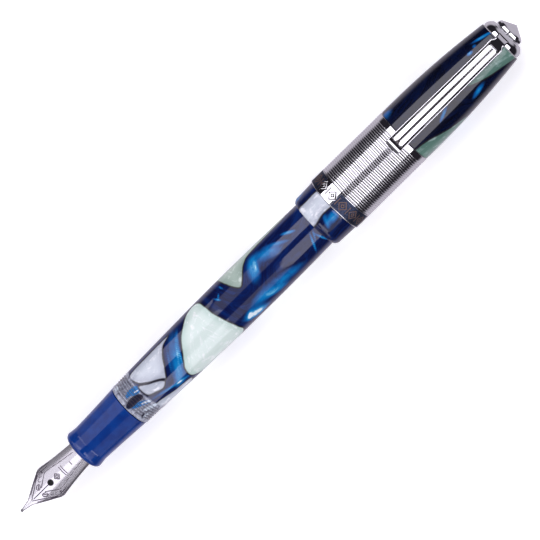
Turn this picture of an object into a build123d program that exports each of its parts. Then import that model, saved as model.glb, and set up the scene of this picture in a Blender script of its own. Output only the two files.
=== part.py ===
from build123d import *
from math import cos, radians, sqrt
import os

# A cartridge and converter fountain pen, lying down, with its cap posted on the barrel's back.
# Every drawing below is made along X from the nib's point (x = 0) to the finial (x = pen_length),
# with the pen's axis at r = 0, and moved to the row frame when it is written.
# Row frame: origin under the middle of the pen, at the height of the band's lowest line,
# +X towards the finial, +Z up, with the nib's face and the clip on top.

# overall
pen_length = 160.0
band_r = 7.38            # metal band of the cap, the fattest part of the pen
running = 0.05           # radial play of parts that turn or slide in each other
touch_gap = 0.01         # between faces that would otherwise only just touch
beyond = 12.0            # size of a cutting block, larger than anything it cuts

# nib and feed
tip_r = 0.36             # pellet at the point
tip_z = 0.75             # its height above the pen's axis
nib_thick = 0.35
nib_mouth_x = 20.6       # where the nib meets the round bore of its housing
nib_tail_r = 3.55        # outside of the nib's tail, held in the housing
nib_tail_end = 29.5
nib_front_r = 6.3        # radius of the nib's sheet at the point: nearly flat
nib_crown_front = 1.05   # height of the nib's top line over the axis, at the point
nib_tail_angle = 100.0   # half the angle that the tail wraps
nib_lowest = -1.2        # the nib's sheet is trimmed below this height
breather_x = 10.3
breather_r = 0.65
slit_width = 0.12
# half outline of the nib from above: flanks, round shoulder, waist
nib_point = (0.45, 0.2)
nib_flank = (3.2, 0.72)
nib_flank_end = (8.6, 3.75)
nib_shoulder_via = (9.3, 4.16)
nib_shoulder = (10.2, 4.3)
nib_waist_via = (14.4, 3.72)
nib_mouth_half = 3.25
feed_end = 30.6
feed_front = 4.4
feed_gap = 0.04          # under the nib's sheet
feed_front_z = 0.25      # underside of the feed at its front
feed_throat = (8.5, -1.5)
feed_heel_x = 19.1
feed_heel_z = -3.3
feed_front_half = 0.6    # half widths from above
feed_wide_x = 10.5
feed_wide_half = 2.6
feed_back_half = 2.95
feed_channel_width = 0.7
feed_channel_floor = 2.6
fin_first = 9.2
fin_pitch = 0.85
fin_slot = 0.35
fin_root_z = -1.0
fin_count = 12

# grip
grip_front = 20.2
grip_lip_r = 4.35
grip_lip_via = (20.5, 4.95)
grip_bead_x = 21.2
grip_bead_r = 5.18
grip_bead_via = (22.0, 5.08)
grip_neck_x = 23.2
grip_neck_r = 4.95
grip_waist_via = (29.5, 5.2)
grip_back = 35.85
grip_back_r = 5.53
grip_bore_r = 4.1
housing_r = 4.08
housing_front = 20.7
housing_wall = 31.2      # floor of the bore that takes nib and feed
housing_back = 33.3
nipple_r = 1.2
nipple_bore_r = 0.6
nipple_end = 39.6
nipple_chamfer = 0.25

# threaded bush and seal
bush_front = 33.45
bush_spigot_r = grip_bore_r - running
bush_shoulder = 36.0
bush_r = 4.35            # crest of the thread that screws into the barrel
bush_end = 44.0
bush_bore_r = 3.5
grip_thread_start = 37.4
grip_thread_pitch = 0.75
grip_thread_turns = 8
grip_thread_depth = 0.28
thread_runout = 0.3
seal_wire_r = 0.35

# barrel
barrel_front = 36.05
barrel_front_r = 5.60
barrel_front_chamfer = 0.1
cap_thread_start = 36.75
cap_thread_end = 40.9
cap_thread_crest_r = 5.74
cap_thread_root_r = 5.50
cap_thread_pitch = 0.67
after_thread = (41.1, 5.76)
barrel_swell_via = (54.5, 6.09)
barrel_max_x = 70.0
barrel_max_r = 6.305
barrel_max_flat = 4.0    # short truly round stretch at the fattest place
barrel_taper_via = (85.0, 6.215)
mouth_x = 96.4           # where the posted cap's mouth stands
mouth_barrel_r = 5.965
barrel_tail_via = (112.0, 4.62)
barrel_end = 127.6
barrel_dome_r = 2.0      # ball end of the taper
barrel_bore_r = 4.1
barrel_bore_end = 105.5
barrel_bore_cone = 2.4
barrel_bush_floor = 44.5
barrel_bush_chamfer = 0.3
seal_seat_r = 5.15
seal_seat_end = 36.85

# converter
converter_front = 33.5
converter_r = 3.4
converter_mouth_depth = 6.5
chamber_r = 2.8
chamber_front = 40.2
chamber_cone = 0.6
chamber_throat_r = 1.6
tube_end = 68.0
band_front = 34.0
band_back = 37.0
converter_band_r = 3.43
band_seat_r = 3.05       # neck of the tube that the metal band is pressed on
sleeve_seat_r = 3.15     # and that the metal sleeve is pressed on
sleeve_front = 65.0
sleeve_end = 82.0
sleeve_r = 3.65
sleeve_bore_r = 2.35
knob_end = 97.5
knob_r = 3.4
knob_cavity_end = 95.5
knob_cavity_r = 1.9
knob_front = 82.2
knob_front_chamfer = 0.3
knob_round = 0.8
metal_chamfer = 0.2
nut_front = 68.6
nut_r = 2.3
rod_r = 1.25
rod_front = 63.6
rod_end = 92.5
rod_neck_r = 0.8
rod_chamfer = 0.4
piston_front = 61.0
piston_back = 65.0
piston_lip = 0.7
piston_lip_slope = 0.5
piston_waist_depth = 0.45
piston_nose = 0.2

# cap
lip_front_r = 6.25
lip_via = (96.85, 6.75)
lip_bead = (97.9, 6.95)
lip_back = 102.4
lip_back_r = 7.09
lip_chamfer = 0.2
lip_bore_r = mouth_barrel_r + running
core_front = 99.45
core_back = 126.9
core_r = 6.6
core_bore_r = 6.05
insert_front = 106.4
insert_back = 111.6
insert_minor_r = 5.58
insert_major_r = 5.82
insert_lead = 0.4
plain_ring_front = 102.5
plain_ring_back = 106.45
plain_ring_chamfer = 0.15
ribs_front = 106.6
ribs_back = 123.3
sleeve_back = 124.7
sleeve_back_r = 7.31
sleeve_chamfer = 0.12
rib_pitch = 0.55
rib_depth = 0.13
upper_front = 124.85
upper_front_r = 7.25
upper_front_chamfer = 0.1
upper_mid_x = 140.5
upper_mid_r = 6.85
upper_back = 154.8
upper_back_r = 5.505
upper_back_chamfer = 0.15
upper_bore_r = 5.12
upper_bore_end = 150.65
inner_cap_front = 127.0
inner_cap_flange = 1.0
inner_cap_r = 5.1
inner_cap_bore_r = 4.5
inner_cap_end = 150.5
inner_cap_floor = 1.0

# finial
ring_front = 154.95
ring_r = 5.25
ring_shoulder_via = (155.9, 5.12)
ring_shoulder = (156.5, 4.72)
ring_edge_via = (156.9, 4.3)
ring_back = 157.1
ring_back_r = 3.8
ring_slot_floor = 4.25
ring_slot_back = 156.3
jewel_front = 157.2
jewel_sides = 10
jewel_r = 3.72
jewel_shoulder_x = 158.25
jewel_shoulder_r = 3.52
jewel_apex_r = 0.04
screw_hole_play = 0.05
screw_r = 1.1
screw_head_r = 2.2
screw_head_back = 152.0
screw_end = 158.0

# clip
clip_free_end = 121.4
clip_foot_x = 122.9
clip_width_free = 4.1
clip_width_root = 3.6
clip_foot_gap = 0.15     # over the metal sleeve
clip_neck_half = 1.3
clip_slot_play = 0.18
clip_corner = 0.3
# side view of the clip: from its foot along the underside to the root, and back over the top
clip_foot_end = (123.7, 7.68)
clip_under_start = (125.2, 8.5)
clip_under_via = (141.0, 7.62)
clip_under_end = (153.9, 5.8)
clip_root_front = (155.2, 5.7)
clip_root_floor = 4.45
clip_root_back = 156.1
clip_root_top = 5.25
clip_root_via = (155.6, 5.95)
clip_top_end = (154.6, 6.35)
clip_top_via = (141.0, 8.42)
clip_top_start = (124.6, 9.35)
clip_nose_top = (122.1, 9.3)
clip_nose_via = (121.4, 8.75)
clip_nose_low = (121.7, 8.0)
# and from above
clip_shoulder_x = 154.3
clip_neck_x = 154.8


def outline(start, *steps):
    """Closed face from corners (x, r). A step that is a pair of points is an arc: via, end."""
    edges = []
    here = start
    for step in steps:
        if isinstance(step[0], tuple):
            via, corner = step
            edges.append(ThreePointArc(here, via, corner))
        else:
            corner = step
            edges.append(Line(here, corner))
        here = corner
    edges.append(Line(here, start))
    return make_face(edges)


def turned(start, *steps):
    """A solid turned about the pen's axis from an outline in (x, r)."""
    return revolve(outline(start, *steps), Axis.X)


def tube(front, back, outer_r, inner_r):
    return turned((front, inner_r), (front, outer_r), (back, outer_r), (back, inner_r))


def rod(front, back, r):
    return turned((front, 0), (front, r), (back, r), (back, 0))


def ridges(front, back, pitch, base_r, ridge_r):
    """Corner points of evenly pitched V ridges along a turned outline, front to back."""
    count = int((back - front) / pitch)
    points = []
    for i in range(count):
        x = front + i * pitch
        points += [(x, base_r), (x + pitch / 2, ridge_r)]
    return points + [(front + count * pitch, base_r)]


def on_cone(radius_cut, front, back):
    """The leaning cone that the nib is rolled to, its radius less radius_cut, from front to back."""
    lean_drop = nib_front_r - nib_crown_front
    slope = lean_drop / nib_mouth_x
    spread = (nib_front_r - nib_tail_r) / nib_mouth_x
    stations = []
    for x in (front, back):
        r = nib_front_r - spread * x - radius_cut
        centre_z = -lean_drop + slope * x
        ring_plane = Plane(origin=(x, 0, centre_z), x_dir=(0, 1, 0), z_dir=(1, 0, 0))
        stations.append(ring_plane * Circle(r))
    return loft(stations)


def nib_plan():
    """The nib seen from above: straight flanks from the point, round shoulders, long waist."""
    mouth = (nib_mouth_x, nib_mouth_half)
    side = make_face([
        Line(nib_point, nib_flank),
        Line(nib_flank, nib_flank_end),
        ThreePointArc(nib_flank_end, nib_shoulder_via, nib_shoulder),
        ThreePointArc(nib_shoulder, nib_waist_via, mouth),
        Line(mouth, (nib_mouth_x, 0)),
        Line((nib_mouth_x, 0), (nib_point[0], 0)),
        Line((nib_point[0], 0), nib_point),
    ])
    return side + mirror(side, Plane.XZ)


def make_nib():
    sheet = on_cone(0, 0, nib_mouth_x) - on_cone(nib_thick, 0, nib_mouth_x)
    blade = sheet & extrude(nib_plan(), beyond, both=True)
    blade = blade & Pos(nib_mouth_x / 2, 0, nib_lowest + beyond / 2) * Box(nib_mouth_x, beyond, beyond)
    tail = tube(nib_mouth_x, nib_tail_end, nib_tail_r, nib_tail_r - nib_thick)
    tail_low = nib_tail_r * cos(radians(nib_tail_angle))
    tail_mid = (nib_mouth_x + nib_tail_end) / 2
    tail = tail & Pos(tail_mid, 0, tail_low + beyond / 2) * Box(beyond, beyond, beyond)
    nib = blade + tail
    nib -= Pos(breather_x, 0, 0) * Cylinder(breather_r, beyond)
    nib -= Pos(breather_x / 2, 0, 0) * Box(breather_x, slit_width, beyond)
    return nib - Pos(tip_r, 0, tip_z) * Sphere(tip_r + touch_gap)


def make_nib_tipping():
    return Pos(tip_r, 0, tip_z) * Sphere(tip_r)


def make_feed():
    side_face = make_face(Plane.XZ * Polyline(
        (feed_front, feed_front_z), (feed_front, beyond), (nib_mouth_x, beyond),
        (nib_mouth_x, feed_heel_z), (feed_heel_x, feed_heel_z), feed_throat, close=True,
    ))
    plan = make_face(Polyline(
        (feed_front, -feed_front_half), (feed_wide_x, -feed_wide_half), (nib_mouth_x, -feed_back_half),
        (nib_mouth_x, feed_back_half), (feed_wide_x, feed_wide_half), (feed_front, feed_front_half),
        close=True,
    ))
    front = on_cone(nib_thick + feed_gap, 0, nib_mouth_x)
    front = front & extrude(side_face, beyond, both=True) & extrude(plan, beyond, both=True)
    feed = front + rod(nib_mouth_x, feed_end, nib_tail_r - nib_thick - feed_gap)
    for i in range(fin_count):
        slot_x = fin_first + i * fin_pitch
        feed -= Pos(slot_x, 0, fin_root_z - beyond / 2) * Box(fin_slot, beyond, beyond)
    channel_length = nib_tail_end - feed_front
    channel = Box(channel_length, feed_channel_width, beyond)
    return feed - Pos(feed_front + channel_length / 2, 0, feed_channel_floor + beyond / 2) * channel


def make_nib_housing():
    bore_r = nib_tail_r + running
    return turned(
        (housing_front, bore_r), (housing_front, housing_r), (housing_back, housing_r),
        (housing_back, nipple_r), (nipple_end - nipple_chamfer, nipple_r),
        (nipple_end, nipple_r - nipple_chamfer),
        (nipple_end, nipple_bore_r), (housing_wall, nipple_bore_r), (housing_wall, bore_r),
    )


def make_grip_section():
    return turned(
        (grip_front, grip_bore_r), (grip_front, grip_lip_r),
        (grip_lip_via, (grip_bead_x, grip_bead_r)),
        (grip_bead_via, (grip_neck_x, grip_neck_r)),
        (grip_waist_via, (grip_back, grip_back_r)),
        (grip_back, grip_bore_r),
    )


def make_section_thread_bush():
    root_r = bush_r - grip_thread_depth
    thread_back = grip_thread_start + grip_thread_pitch * grip_thread_turns
    crests = ridges(grip_thread_start, thread_back, grip_thread_pitch, root_r, bush_r)
    return turned(
        (bush_front, bush_bore_r), (bush_front, bush_spigot_r), (bush_shoulder, bush_spigot_r),
        (bush_shoulder, bush_r), (grip_thread_start - thread_runout, bush_r), *crests,
        (bush_end, root_r), (bush_end, bush_bore_r),
    )


def make_section_o_ring():
    ring_x = bush_shoulder + seal_wire_r + 2 * touch_gap
    wire_centre_r = bush_r + running + seal_wire_r
    return Pos(ring_x, 0, 0) * Rot(0, 90, 0) * Torus(wire_centre_r, seal_wire_r)


def make_barrel():
    crests = ridges(
        cap_thread_start, cap_thread_end, cap_thread_pitch, cap_thread_root_r, cap_thread_crest_r,
    )
    flat_front = barrel_max_x - barrel_max_flat / 2
    flat_back = barrel_max_x + barrel_max_flat / 2
    bush_bore = bush_r + running
    dome_x = barrel_end - barrel_dome_r
    return turned(
        (barrel_front, seal_seat_r), (barrel_front, barrel_front_r - barrel_front_chamfer),
        (barrel_front + barrel_front_chamfer, barrel_front_r), *crests, after_thread,
        (barrel_swell_via, (flat_front, barrel_max_r)), (flat_back, barrel_max_r),
        (barrel_taper_via, (mouth_x, mouth_barrel_r)),
        (barrel_tail_via, (dome_x, barrel_dome_r)),
        ((dome_x + barrel_dome_r / sqrt(2), barrel_dome_r / sqrt(2)), (barrel_end, 0)),
        (barrel_bore_end + barrel_bore_cone, 0), (barrel_bore_end, barrel_bore_r),
        (barrel_bush_floor + barrel_bush_chamfer, barrel_bore_r), (barrel_bush_floor, bush_bore),
        (seal_seat_end, bush_bore), (seal_seat_end, seal_seat_r),
    )


def make_converter_tube():
    mouth_bore = nipple_r + running
    mouth_floor = converter_front + converter_mouth_depth
    return turned(
        (converter_front, mouth_bore), (converter_front, band_seat_r), (band_back, band_seat_r),
        (band_back, converter_r), (sleeve_front, converter_r), (sleeve_front, sleeve_seat_r),
        (tube_end, sleeve_seat_r), (tube_end, chamber_r), (chamber_front + chamber_cone, chamber_r),
        (chamber_front, chamber_throat_r), (mouth_floor, mouth_bore),
    )


def make_converter_mouth_band():
    return tube(band_front, band_back, converter_band_r, band_seat_r)


def make_converter_sleeve():
    return turned(
        (sleeve_front, sleeve_seat_r), (sleeve_front, sleeve_r - metal_chamfer),
        (sleeve_front + metal_chamfer, sleeve_r), (sleeve_end - metal_chamfer, sleeve_r),
        (sleeve_end, sleeve_r - metal_chamfer), (sleeve_end, sleeve_bore_r),
        (tube_end, sleeve_bore_r), (tube_end, sleeve_seat_r),
    )


def make_converter_drive_nut():
    return tube(nut_front, knob_front, nut_r, rod_r + running)


def make_converter_knob():
    corner_inset = knob_round * (1 - 1 / sqrt(2))
    corner_via = (knob_end - corner_inset, knob_r - corner_inset)
    return turned(
        (knob_front, knob_cavity_r), (knob_front, knob_r - knob_front_chamfer),
        (knob_front + knob_front_chamfer, knob_r), (knob_end - knob_round, knob_r),
        (corner_via, (knob_end, knob_r - knob_round)),
        (knob_end, 0), (knob_cavity_end, 0), (knob_cavity_end, knob_cavity_r),
    )


def make_piston_rod():
    return turned(
        (rod_front, 0), (rod_front, rod_neck_r), (piston_back, rod_neck_r), (piston_back, rod_r),
        (rod_end - rod_chamfer, rod_r), (rod_end, rod_r - rod_chamfer), (rod_end, 0),
    )


def make_piston_seal():
    seal_r = chamber_r - running
    waist_r = seal_r - piston_waist_depth
    front_lip = piston_front + piston_lip
    back_lip = piston_back - piston_lip
    socket_r = rod_neck_r + 2 * touch_gap
    socket_floor = rod_front - 2 * touch_gap
    return turned(
        (piston_front, 0), (piston_front, waist_r), (piston_front + piston_nose, seal_r),
        (front_lip, seal_r), (front_lip + piston_lip_slope, waist_r),
        (back_lip - piston_lip_slope, waist_r), (back_lip, seal_r), (piston_back, seal_r),
        (piston_back, socket_r), (socket_floor, socket_r), (socket_floor, 0),
    )


def make_cap_lip():
    return turned(
        (mouth_x, lip_bore_r), (mouth_x, lip_front_r), (lip_via, lip_bead),
        (lip_back - lip_chamfer, lip_back_r), (lip_back, lip_back_r - lip_chamfer), (lip_back, core_r),
        (core_front, core_r), (core_front, lip_bore_r),
    )


def make_cap_core_tube():
    return tube(core_front, core_back, core_r, core_bore_r)


def make_cap_thread_insert():
    grooves = ridges(
        insert_front + insert_lead, insert_back - insert_lead, cap_thread_pitch,
        insert_major_r, insert_minor_r,
    )
    return turned(
        (insert_front, core_bore_r), (insert_back, core_bore_r), (insert_back, insert_major_r),
        *reversed(grooves), (insert_front, insert_major_r),
    )


def make_cap_plain_ring():
    return turned(
        (plain_ring_front, core_r), (plain_ring_front, band_r - plain_ring_chamfer),
        (plain_ring_front + plain_ring_chamfer, band_r), (plain_ring_back - plain_ring_chamfer, band_r),
        (plain_ring_back, band_r - plain_ring_chamfer), (plain_ring_back, core_r),
    )


def make_cap_ribbed_sleeve():
    crests = []
    rib_count = int((ribs_back - ribs_front) / rib_pitch)
    for i in range(rib_count):
        x = ribs_front + (i + 0.5) * rib_pitch
        top = band_r + (sleeve_back_r - band_r) * (x - ribs_front) / (sleeve_back - ribs_front)
        crests += [(x - rib_pitch / 2, top - rib_depth), (x, top)]
    edge_r = crests[-1][1]
    return turned(
        (ribs_front, core_r), *crests, (ribs_back, edge_r - rib_depth),
        (ribs_back + sleeve_chamfer, edge_r), (sleeve_back - sleeve_chamfer, sleeve_back_r),
        (sleeve_back, sleeve_back_r - sleeve_chamfer),
        (sleeve_back, core_r),
    )


def make_cap_upper():
    return turned(
        (upper_front, core_r), (upper_front, upper_front_r - upper_front_chamfer),
        (upper_front + upper_front_chamfer, upper_front_r),
        ((upper_mid_x, upper_mid_r), (upper_back - upper_back_chamfer, upper_back_r)),
        (upper_back, upper_back_r - upper_back_chamfer), (upper_back, screw_r), (screw_head_back, screw_r),
        (screw_head_back, screw_head_r), (upper_bore_end, screw_head_r),
        (upper_bore_end, upper_bore_r), (inner_cap_front + inner_cap_flange, upper_bore_r),
        (inner_cap_front + inner_cap_flange, core_r),
    )


def make_inner_cap():
    flange_back = inner_cap_front + inner_cap_flange
    floor_x = inner_cap_end - inner_cap_floor
    return turned(
        (inner_cap_front, inner_cap_bore_r), (inner_cap_front, core_r), (flange_back, core_r),
        (flange_back, inner_cap_r), (inner_cap_end, inner_cap_r), (inner_cap_end, 0),
        (floor_x, 0), (floor_x, inner_cap_bore_r),
    )


def make_cap_top_ring():
    ring = turned(
        (ring_front, screw_r), (ring_front, ring_r), (ring_shoulder_via, ring_shoulder),
        (ring_edge_via, (ring_back, ring_back_r)), (ring_back, screw_r),
    )
    slot_length = ring_slot_back - ring_front + beyond
    slot = Box(slot_length, 2 * (clip_neck_half + clip_slot_play), beyond)
    return ring - Pos(ring_slot_back - slot_length / 2, 0, ring_slot_floor + beyond / 2) * slot


def make_finial_jewel():
    """Ten flat sides with a corner on top, under a low ten-sided point, bored for its screw."""
    def ten_sided(x, r):
        side_plane = Plane(origin=(x, 0, 0), x_dir=(0, 0, 1), z_dir=(1, 0, 0))
        return side_plane * RegularPolygon(r, jewel_sides)
    girdle = loft([ten_sided(jewel_front, jewel_r), ten_sided(jewel_shoulder_x, jewel_shoulder_r)])
    top = loft([ten_sided(jewel_shoulder_x, jewel_shoulder_r), ten_sided(pen_length, jewel_apex_r)])
    return girdle + top - rod(ring_front, screw_end + screw_hole_play, screw_r)


def make_finial_screw():
    return turned(
        (upper_bore_end, 0), (upper_bore_end, screw_head_r), (screw_head_back, screw_head_r),
        (screw_head_back, screw_r), (screw_end, screw_r), (screw_end, 0),
    )


def make_clip():
    foot = (clip_foot_x, band_r + clip_foot_gap)
    root_low = (clip_root_front[0], clip_root_floor)
    root_heel = (clip_root_back, clip_root_floor)
    root_top = (clip_root_back, clip_root_top)
    side = Plane.XZ * make_face([
        Line(foot, clip_foot_end),
        Line(clip_foot_end, clip_under_start),
        ThreePointArc(clip_under_start, clip_under_via, clip_under_end),
        Line(clip_under_end, clip_root_front),
        Line(clip_root_front, root_low),
        Line(root_low, root_heel),
        Line(root_heel, root_top),
        ThreePointArc(root_top, clip_root_via, clip_top_end),
        ThreePointArc(clip_top_end, clip_top_via, clip_top_start),
        Line(clip_top_start, clip_nose_top),
        ThreePointArc(clip_nose_top, clip_nose_via, clip_nose_low),
        Line(clip_nose_low, foot),
    ])
    free_half = clip_width_free / 2
    root_half = clip_width_root / 2
    half_plan = make_face(Polyline(
        (clip_free_end, 0), (clip_free_end, free_half - clip_corner),
        (clip_free_end + clip_corner, free_half), (clip_shoulder_x, root_half),
        (clip_neck_x, clip_neck_half), (clip_root_back + clip_corner, clip_neck_half),
        (clip_root_back + clip_corner, 0), close=True,
    ))
    plan = half_plan + mirror(half_plan, Plane.XZ)
    return extrude(side, beyond, both=True) & extrude(plan, beyond, both=True)


subparts = {
    "nib": make_nib,
    "nib_tipping": make_nib_tipping,
    "feed": make_feed,
    "nib_housing": make_nib_housing,
    "grip_section": make_grip_section,
    "section_thread_bush": make_section_thread_bush,
    "section_o_ring": make_section_o_ring,
    "barrel": make_barrel,
    "converter_tube": make_converter_tube,
    "converter_mouth_band": make_converter_mouth_band,
    "converter_sleeve": make_converter_sleeve,
    "converter_drive_nut": make_converter_drive_nut,
    "converter_knob": make_converter_knob,
    "piston_rod": make_piston_rod,
    "piston_seal": make_piston_seal,
    "cap_lip": make_cap_lip,
    "cap_core_tube": make_cap_core_tube,
    "cap_thread_insert": make_cap_thread_insert,
    "cap_plain_ring": make_cap_plain_ring,
    "cap_ribbed_sleeve": make_cap_ribbed_sleeve,
    "cap_upper": make_cap_upper,
    "inner_cap": make_inner_cap,
    "cap_top_ring": make_cap_top_ring,
    "clip": make_clip,
    "finial_jewel": make_finial_jewel,
    "finial_screw": make_finial_screw,
}

os.makedirs("parts", exist_ok=True)
to_row_frame = Pos(-pen_length / 2, 0, band_r)
for name, make in subparts.items():
    piece = to_row_frame * make()
    piece.label = name
    export_step(piece, f"parts/{name}.step")
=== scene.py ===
import bmesh
import bpy
import math
import numpy as np
from mathutils import Matrix, Vector


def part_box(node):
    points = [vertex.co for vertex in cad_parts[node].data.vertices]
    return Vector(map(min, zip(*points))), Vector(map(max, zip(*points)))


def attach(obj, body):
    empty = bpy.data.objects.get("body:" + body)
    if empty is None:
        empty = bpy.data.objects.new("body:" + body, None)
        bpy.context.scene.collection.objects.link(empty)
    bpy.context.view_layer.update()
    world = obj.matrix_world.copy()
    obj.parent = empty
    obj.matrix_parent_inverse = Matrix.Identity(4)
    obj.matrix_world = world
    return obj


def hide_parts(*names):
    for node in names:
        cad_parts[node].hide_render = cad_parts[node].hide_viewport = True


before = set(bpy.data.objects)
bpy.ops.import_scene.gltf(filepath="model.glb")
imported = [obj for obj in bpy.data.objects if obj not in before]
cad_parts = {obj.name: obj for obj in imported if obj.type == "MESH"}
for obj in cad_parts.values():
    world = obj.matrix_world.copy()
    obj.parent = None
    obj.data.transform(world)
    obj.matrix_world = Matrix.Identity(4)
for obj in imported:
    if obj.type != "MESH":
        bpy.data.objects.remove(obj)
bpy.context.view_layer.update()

# the pen lies along X. Shapes are drawn in millimetres: x from the nib's point, r from the pen's axis
mm = 0.001
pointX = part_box("nib_tipping")[0].x
axisZ = (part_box("barrel")[0].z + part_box("barrel")[1].z) / 2


def span(node):
    # front and back of a CAD node along the pen, and its outer radius, in mm
    low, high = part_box(node)
    return (low.x - pointX) / mm, (high.x - pointX) / mm, (high.y - low.y) / 2 / mm


def place(x, y, z):
    return Vector((pointX + x * mm, y * mm, axisZ + z * mm))


# curves and outlines

def arcThrough(start, via, end, count):
    # points on the circle through three points, evenly spaced in angle from start to end
    (ax, ay), (bx, by), (cx, cy) = start, via, end
    d = 2 * (ax * (by - cy) + bx * (cy - ay) + cx * (ay - by))
    a2, b2, c2 = ax * ax + ay * ay, bx * bx + by * by, cx * cx + cy * cy
    ux = (a2 * (by - cy) + b2 * (cy - ay) + c2 * (ay - by)) / d
    uy = (a2 * (cx - bx) + b2 * (ax - cx) + c2 * (bx - ax)) / d
    radius = math.hypot(ax - ux, ay - uy)
    first = math.atan2(ay - uy, ax - ux)
    mid = (math.atan2(by - uy, bx - ux) - first) % (2 * math.pi)
    last = (math.atan2(cy - uy, cx - ux) - first) % (2 * math.pi)
    if mid > last:
        last -= 2 * math.pi
    t = first + np.linspace(0, last, count)
    return np.stack([ux + radius * np.cos(t), uy + radius * np.sin(t)], -1)


def rounded(items, steps=5):
    # a closed outline. An item is a corner (x, r), a corner with a fillet (x, r, fillet), or an array of
    # points. A fillet starts and ends fillet / tan(half the corner's angle) from the corner, and has a
    # point just outside each end, which keeps the flat beside it flat when it is shaded smooth
    corners = []
    for item in items:
        if isinstance(item, np.ndarray):
            corners += [(p[0], p[1], 0) for p in item]
        else:
            corners.append((item[0], item[1], item[2] if len(item) > 2 else 0))
    outline = []
    for i, (x, y, fillet) in enumerate(corners):
        here = np.array([x, y])
        if not fillet:
            outline.append(here)
            continue
        before = np.array(corners[i - 1][:2]) - here
        after = np.array(corners[(i + 1) % len(corners)][:2]) - here
        before, after = before / np.linalg.norm(before), after / np.linalg.norm(after)
        half = math.acos(max(-1, min(1, float(before @ after)))) / 2
        back = fillet / math.tan(half)
        middle = (before + after) / np.linalg.norm(before + after)
        centre = here + middle * fillet / math.sin(half)
        first, last = here + before * back, here + after * back
        via = centre - middle * fillet
        outline.append(first + before * fillet * 0.25)
        outline += list(arcThrough(first, via, last, steps + 1))
        outline.append(last + after * fillet * 0.25)
    return np.array(outline)


def divided(outline, longest):
    # the same closed outline with every side cut into equal pieces no longer than longest
    ends = np.roll(outline, -1, axis=0)
    counts = np.maximum(1, np.ceil(np.linalg.norm(ends - outline, axis=1) / longest)).astype(int)
    rows = [a + (b - a) * (np.arange(n) / n)[:, None] for a, b, n in zip(outline, ends, counts)]
    return np.concatenate(rows)


# meshes

def gridMesh(name, grid, joinRows=False, joinColumns=False):
    # a quad between each four neighbours of a grid of points in mm; a joined side wraps round.
    # Points that fall together, as on a pole, are merged later by closed, which also turns the faces
    # outwards
    rows, columns = grid.shape[:2]
    u, v = np.meshgrid(
        np.arange(rows if joinRows else rows - 1),
        np.arange(columns if joinColumns else columns - 1), indexing="ij",
    )
    nextU, nextV = (u + 1) % rows, (v + 1) % columns
    quads = np.stack([
        u * columns + v, nextU * columns + v, nextU * columns + nextV, u * columns + nextV,
    ], -1).reshape(-1, 4)
    points = grid.reshape(-1, 3) * mm + np.array([pointX, 0, axisZ])
    mesh = bpy.data.meshes.new(name)
    mesh.vertices.add(len(points))
    mesh.vertices.foreach_set("co", points.astype(np.float32).ravel())
    mesh.loops.add(quads.size)
    mesh.loops.foreach_set("vertex_index", quads.astype(np.int32).ravel())
    mesh.polygons.add(len(quads))
    mesh.polygons.foreach_set("loop_start", np.arange(0, quads.size, 4, dtype=np.int32))
    mesh.update(calc_edges=True)
    return mesh


def closed(mesh, dropInner=None, weld=0.0004 * mm):
    # merges doubles, drops faces that dropInner picks, and turns the faces outwards
    work = bmesh.new()
    work.from_mesh(mesh)
    bmesh.ops.remove_doubles(work, verts=work.verts, dist=weld)
    bmesh.ops.dissolve_degenerate(work, edges=work.edges, dist=weld)
    if dropInner is not None:
        bmesh.ops.delete(work, geom=[f for f in work.faces if dropInner(f)], context="FACES_ONLY")
    bmesh.ops.recalc_face_normals(work, faces=work.faces)
    work.to_mesh(mesh)
    work.free()
    return mesh


def turnedGrid(outline, sides, carve=None):
    # an outline (x, r) turned about the pen's axis: y = -r sin(angle), z = r cos(angle), so that angle 0
    # is the top. carve(x, angle, r) says how much deeper the surface lies at each point
    angle = np.linspace(0, 2 * math.pi, sides, endpoint=False)[None, :]
    x = outline[:, 0][:, None] + 0 * angle
    r = outline[:, 1][:, None] + 0 * angle
    if carve is not None:
        r = r - carve(x, angle + 0 * x, r)
    return np.stack([x, -r * np.sin(angle), r * np.cos(angle)], -1)


def turned(name, outline, sides=96, carve=None):
    return closed(gridMesh(name, turnedGrid(outline, sides, carve), joinRows=True, joinColumns=True))


def helix(x, angle, pitch):
    # a wave from 0 to 1 for a thread: half a cosine of x / pitch less one turn of the angle
    phase = x / pitch - angle / (2 * math.pi)
    return 0.5 - 0.5 * np.cos(2 * math.pi * phase)


def between(x, first, last, over):
    # 1 between first and last, and faded to 0 over a short length inside each of them
    return np.clip((x - first) / over, 0, 1) * np.clip((last - x) / over, 0, 1)


def looped(name, x, upper, lower):
    # a closed body from a loop at each station x: over the top and back underneath, both given as
    # (y, z), with each end drawn to its middle
    loop = np.concatenate([np.stack([x[:, None] + 0 * y, y, z], -1) for y, z in (upper, lower)], axis=1)
    ends = [np.repeat(loop[row].mean(axis=0)[None, None, :], loop.shape[1], axis=1) for row in (0, -1)]
    grid = np.concatenate([ends[0], loop, ends[1]], axis=0)
    return closed(gridMesh(name, grid, joinColumns=True))


def onPen(mesh):
    # x from the point in mm, and the angle from the top in radians, of every vertex
    co = np.zeros(len(mesh.vertices) * 3, np.float32)
    mesh.vertices.foreach_get("co", co)
    co = co.reshape(-1, 3).astype(float)
    x = (co[:, 0] - pointX) / mm
    y, z = co[:, 1] / mm, (co[:, 2] - axisZ) / mm
    return x, np.arctan2(-y, z), np.hypot(y, z), y, z


def attribute(mesh, name, values):
    mesh.attributes.new(name, "FLOAT", "POINT").data.foreach_set("value", values.astype(np.float32))


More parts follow.
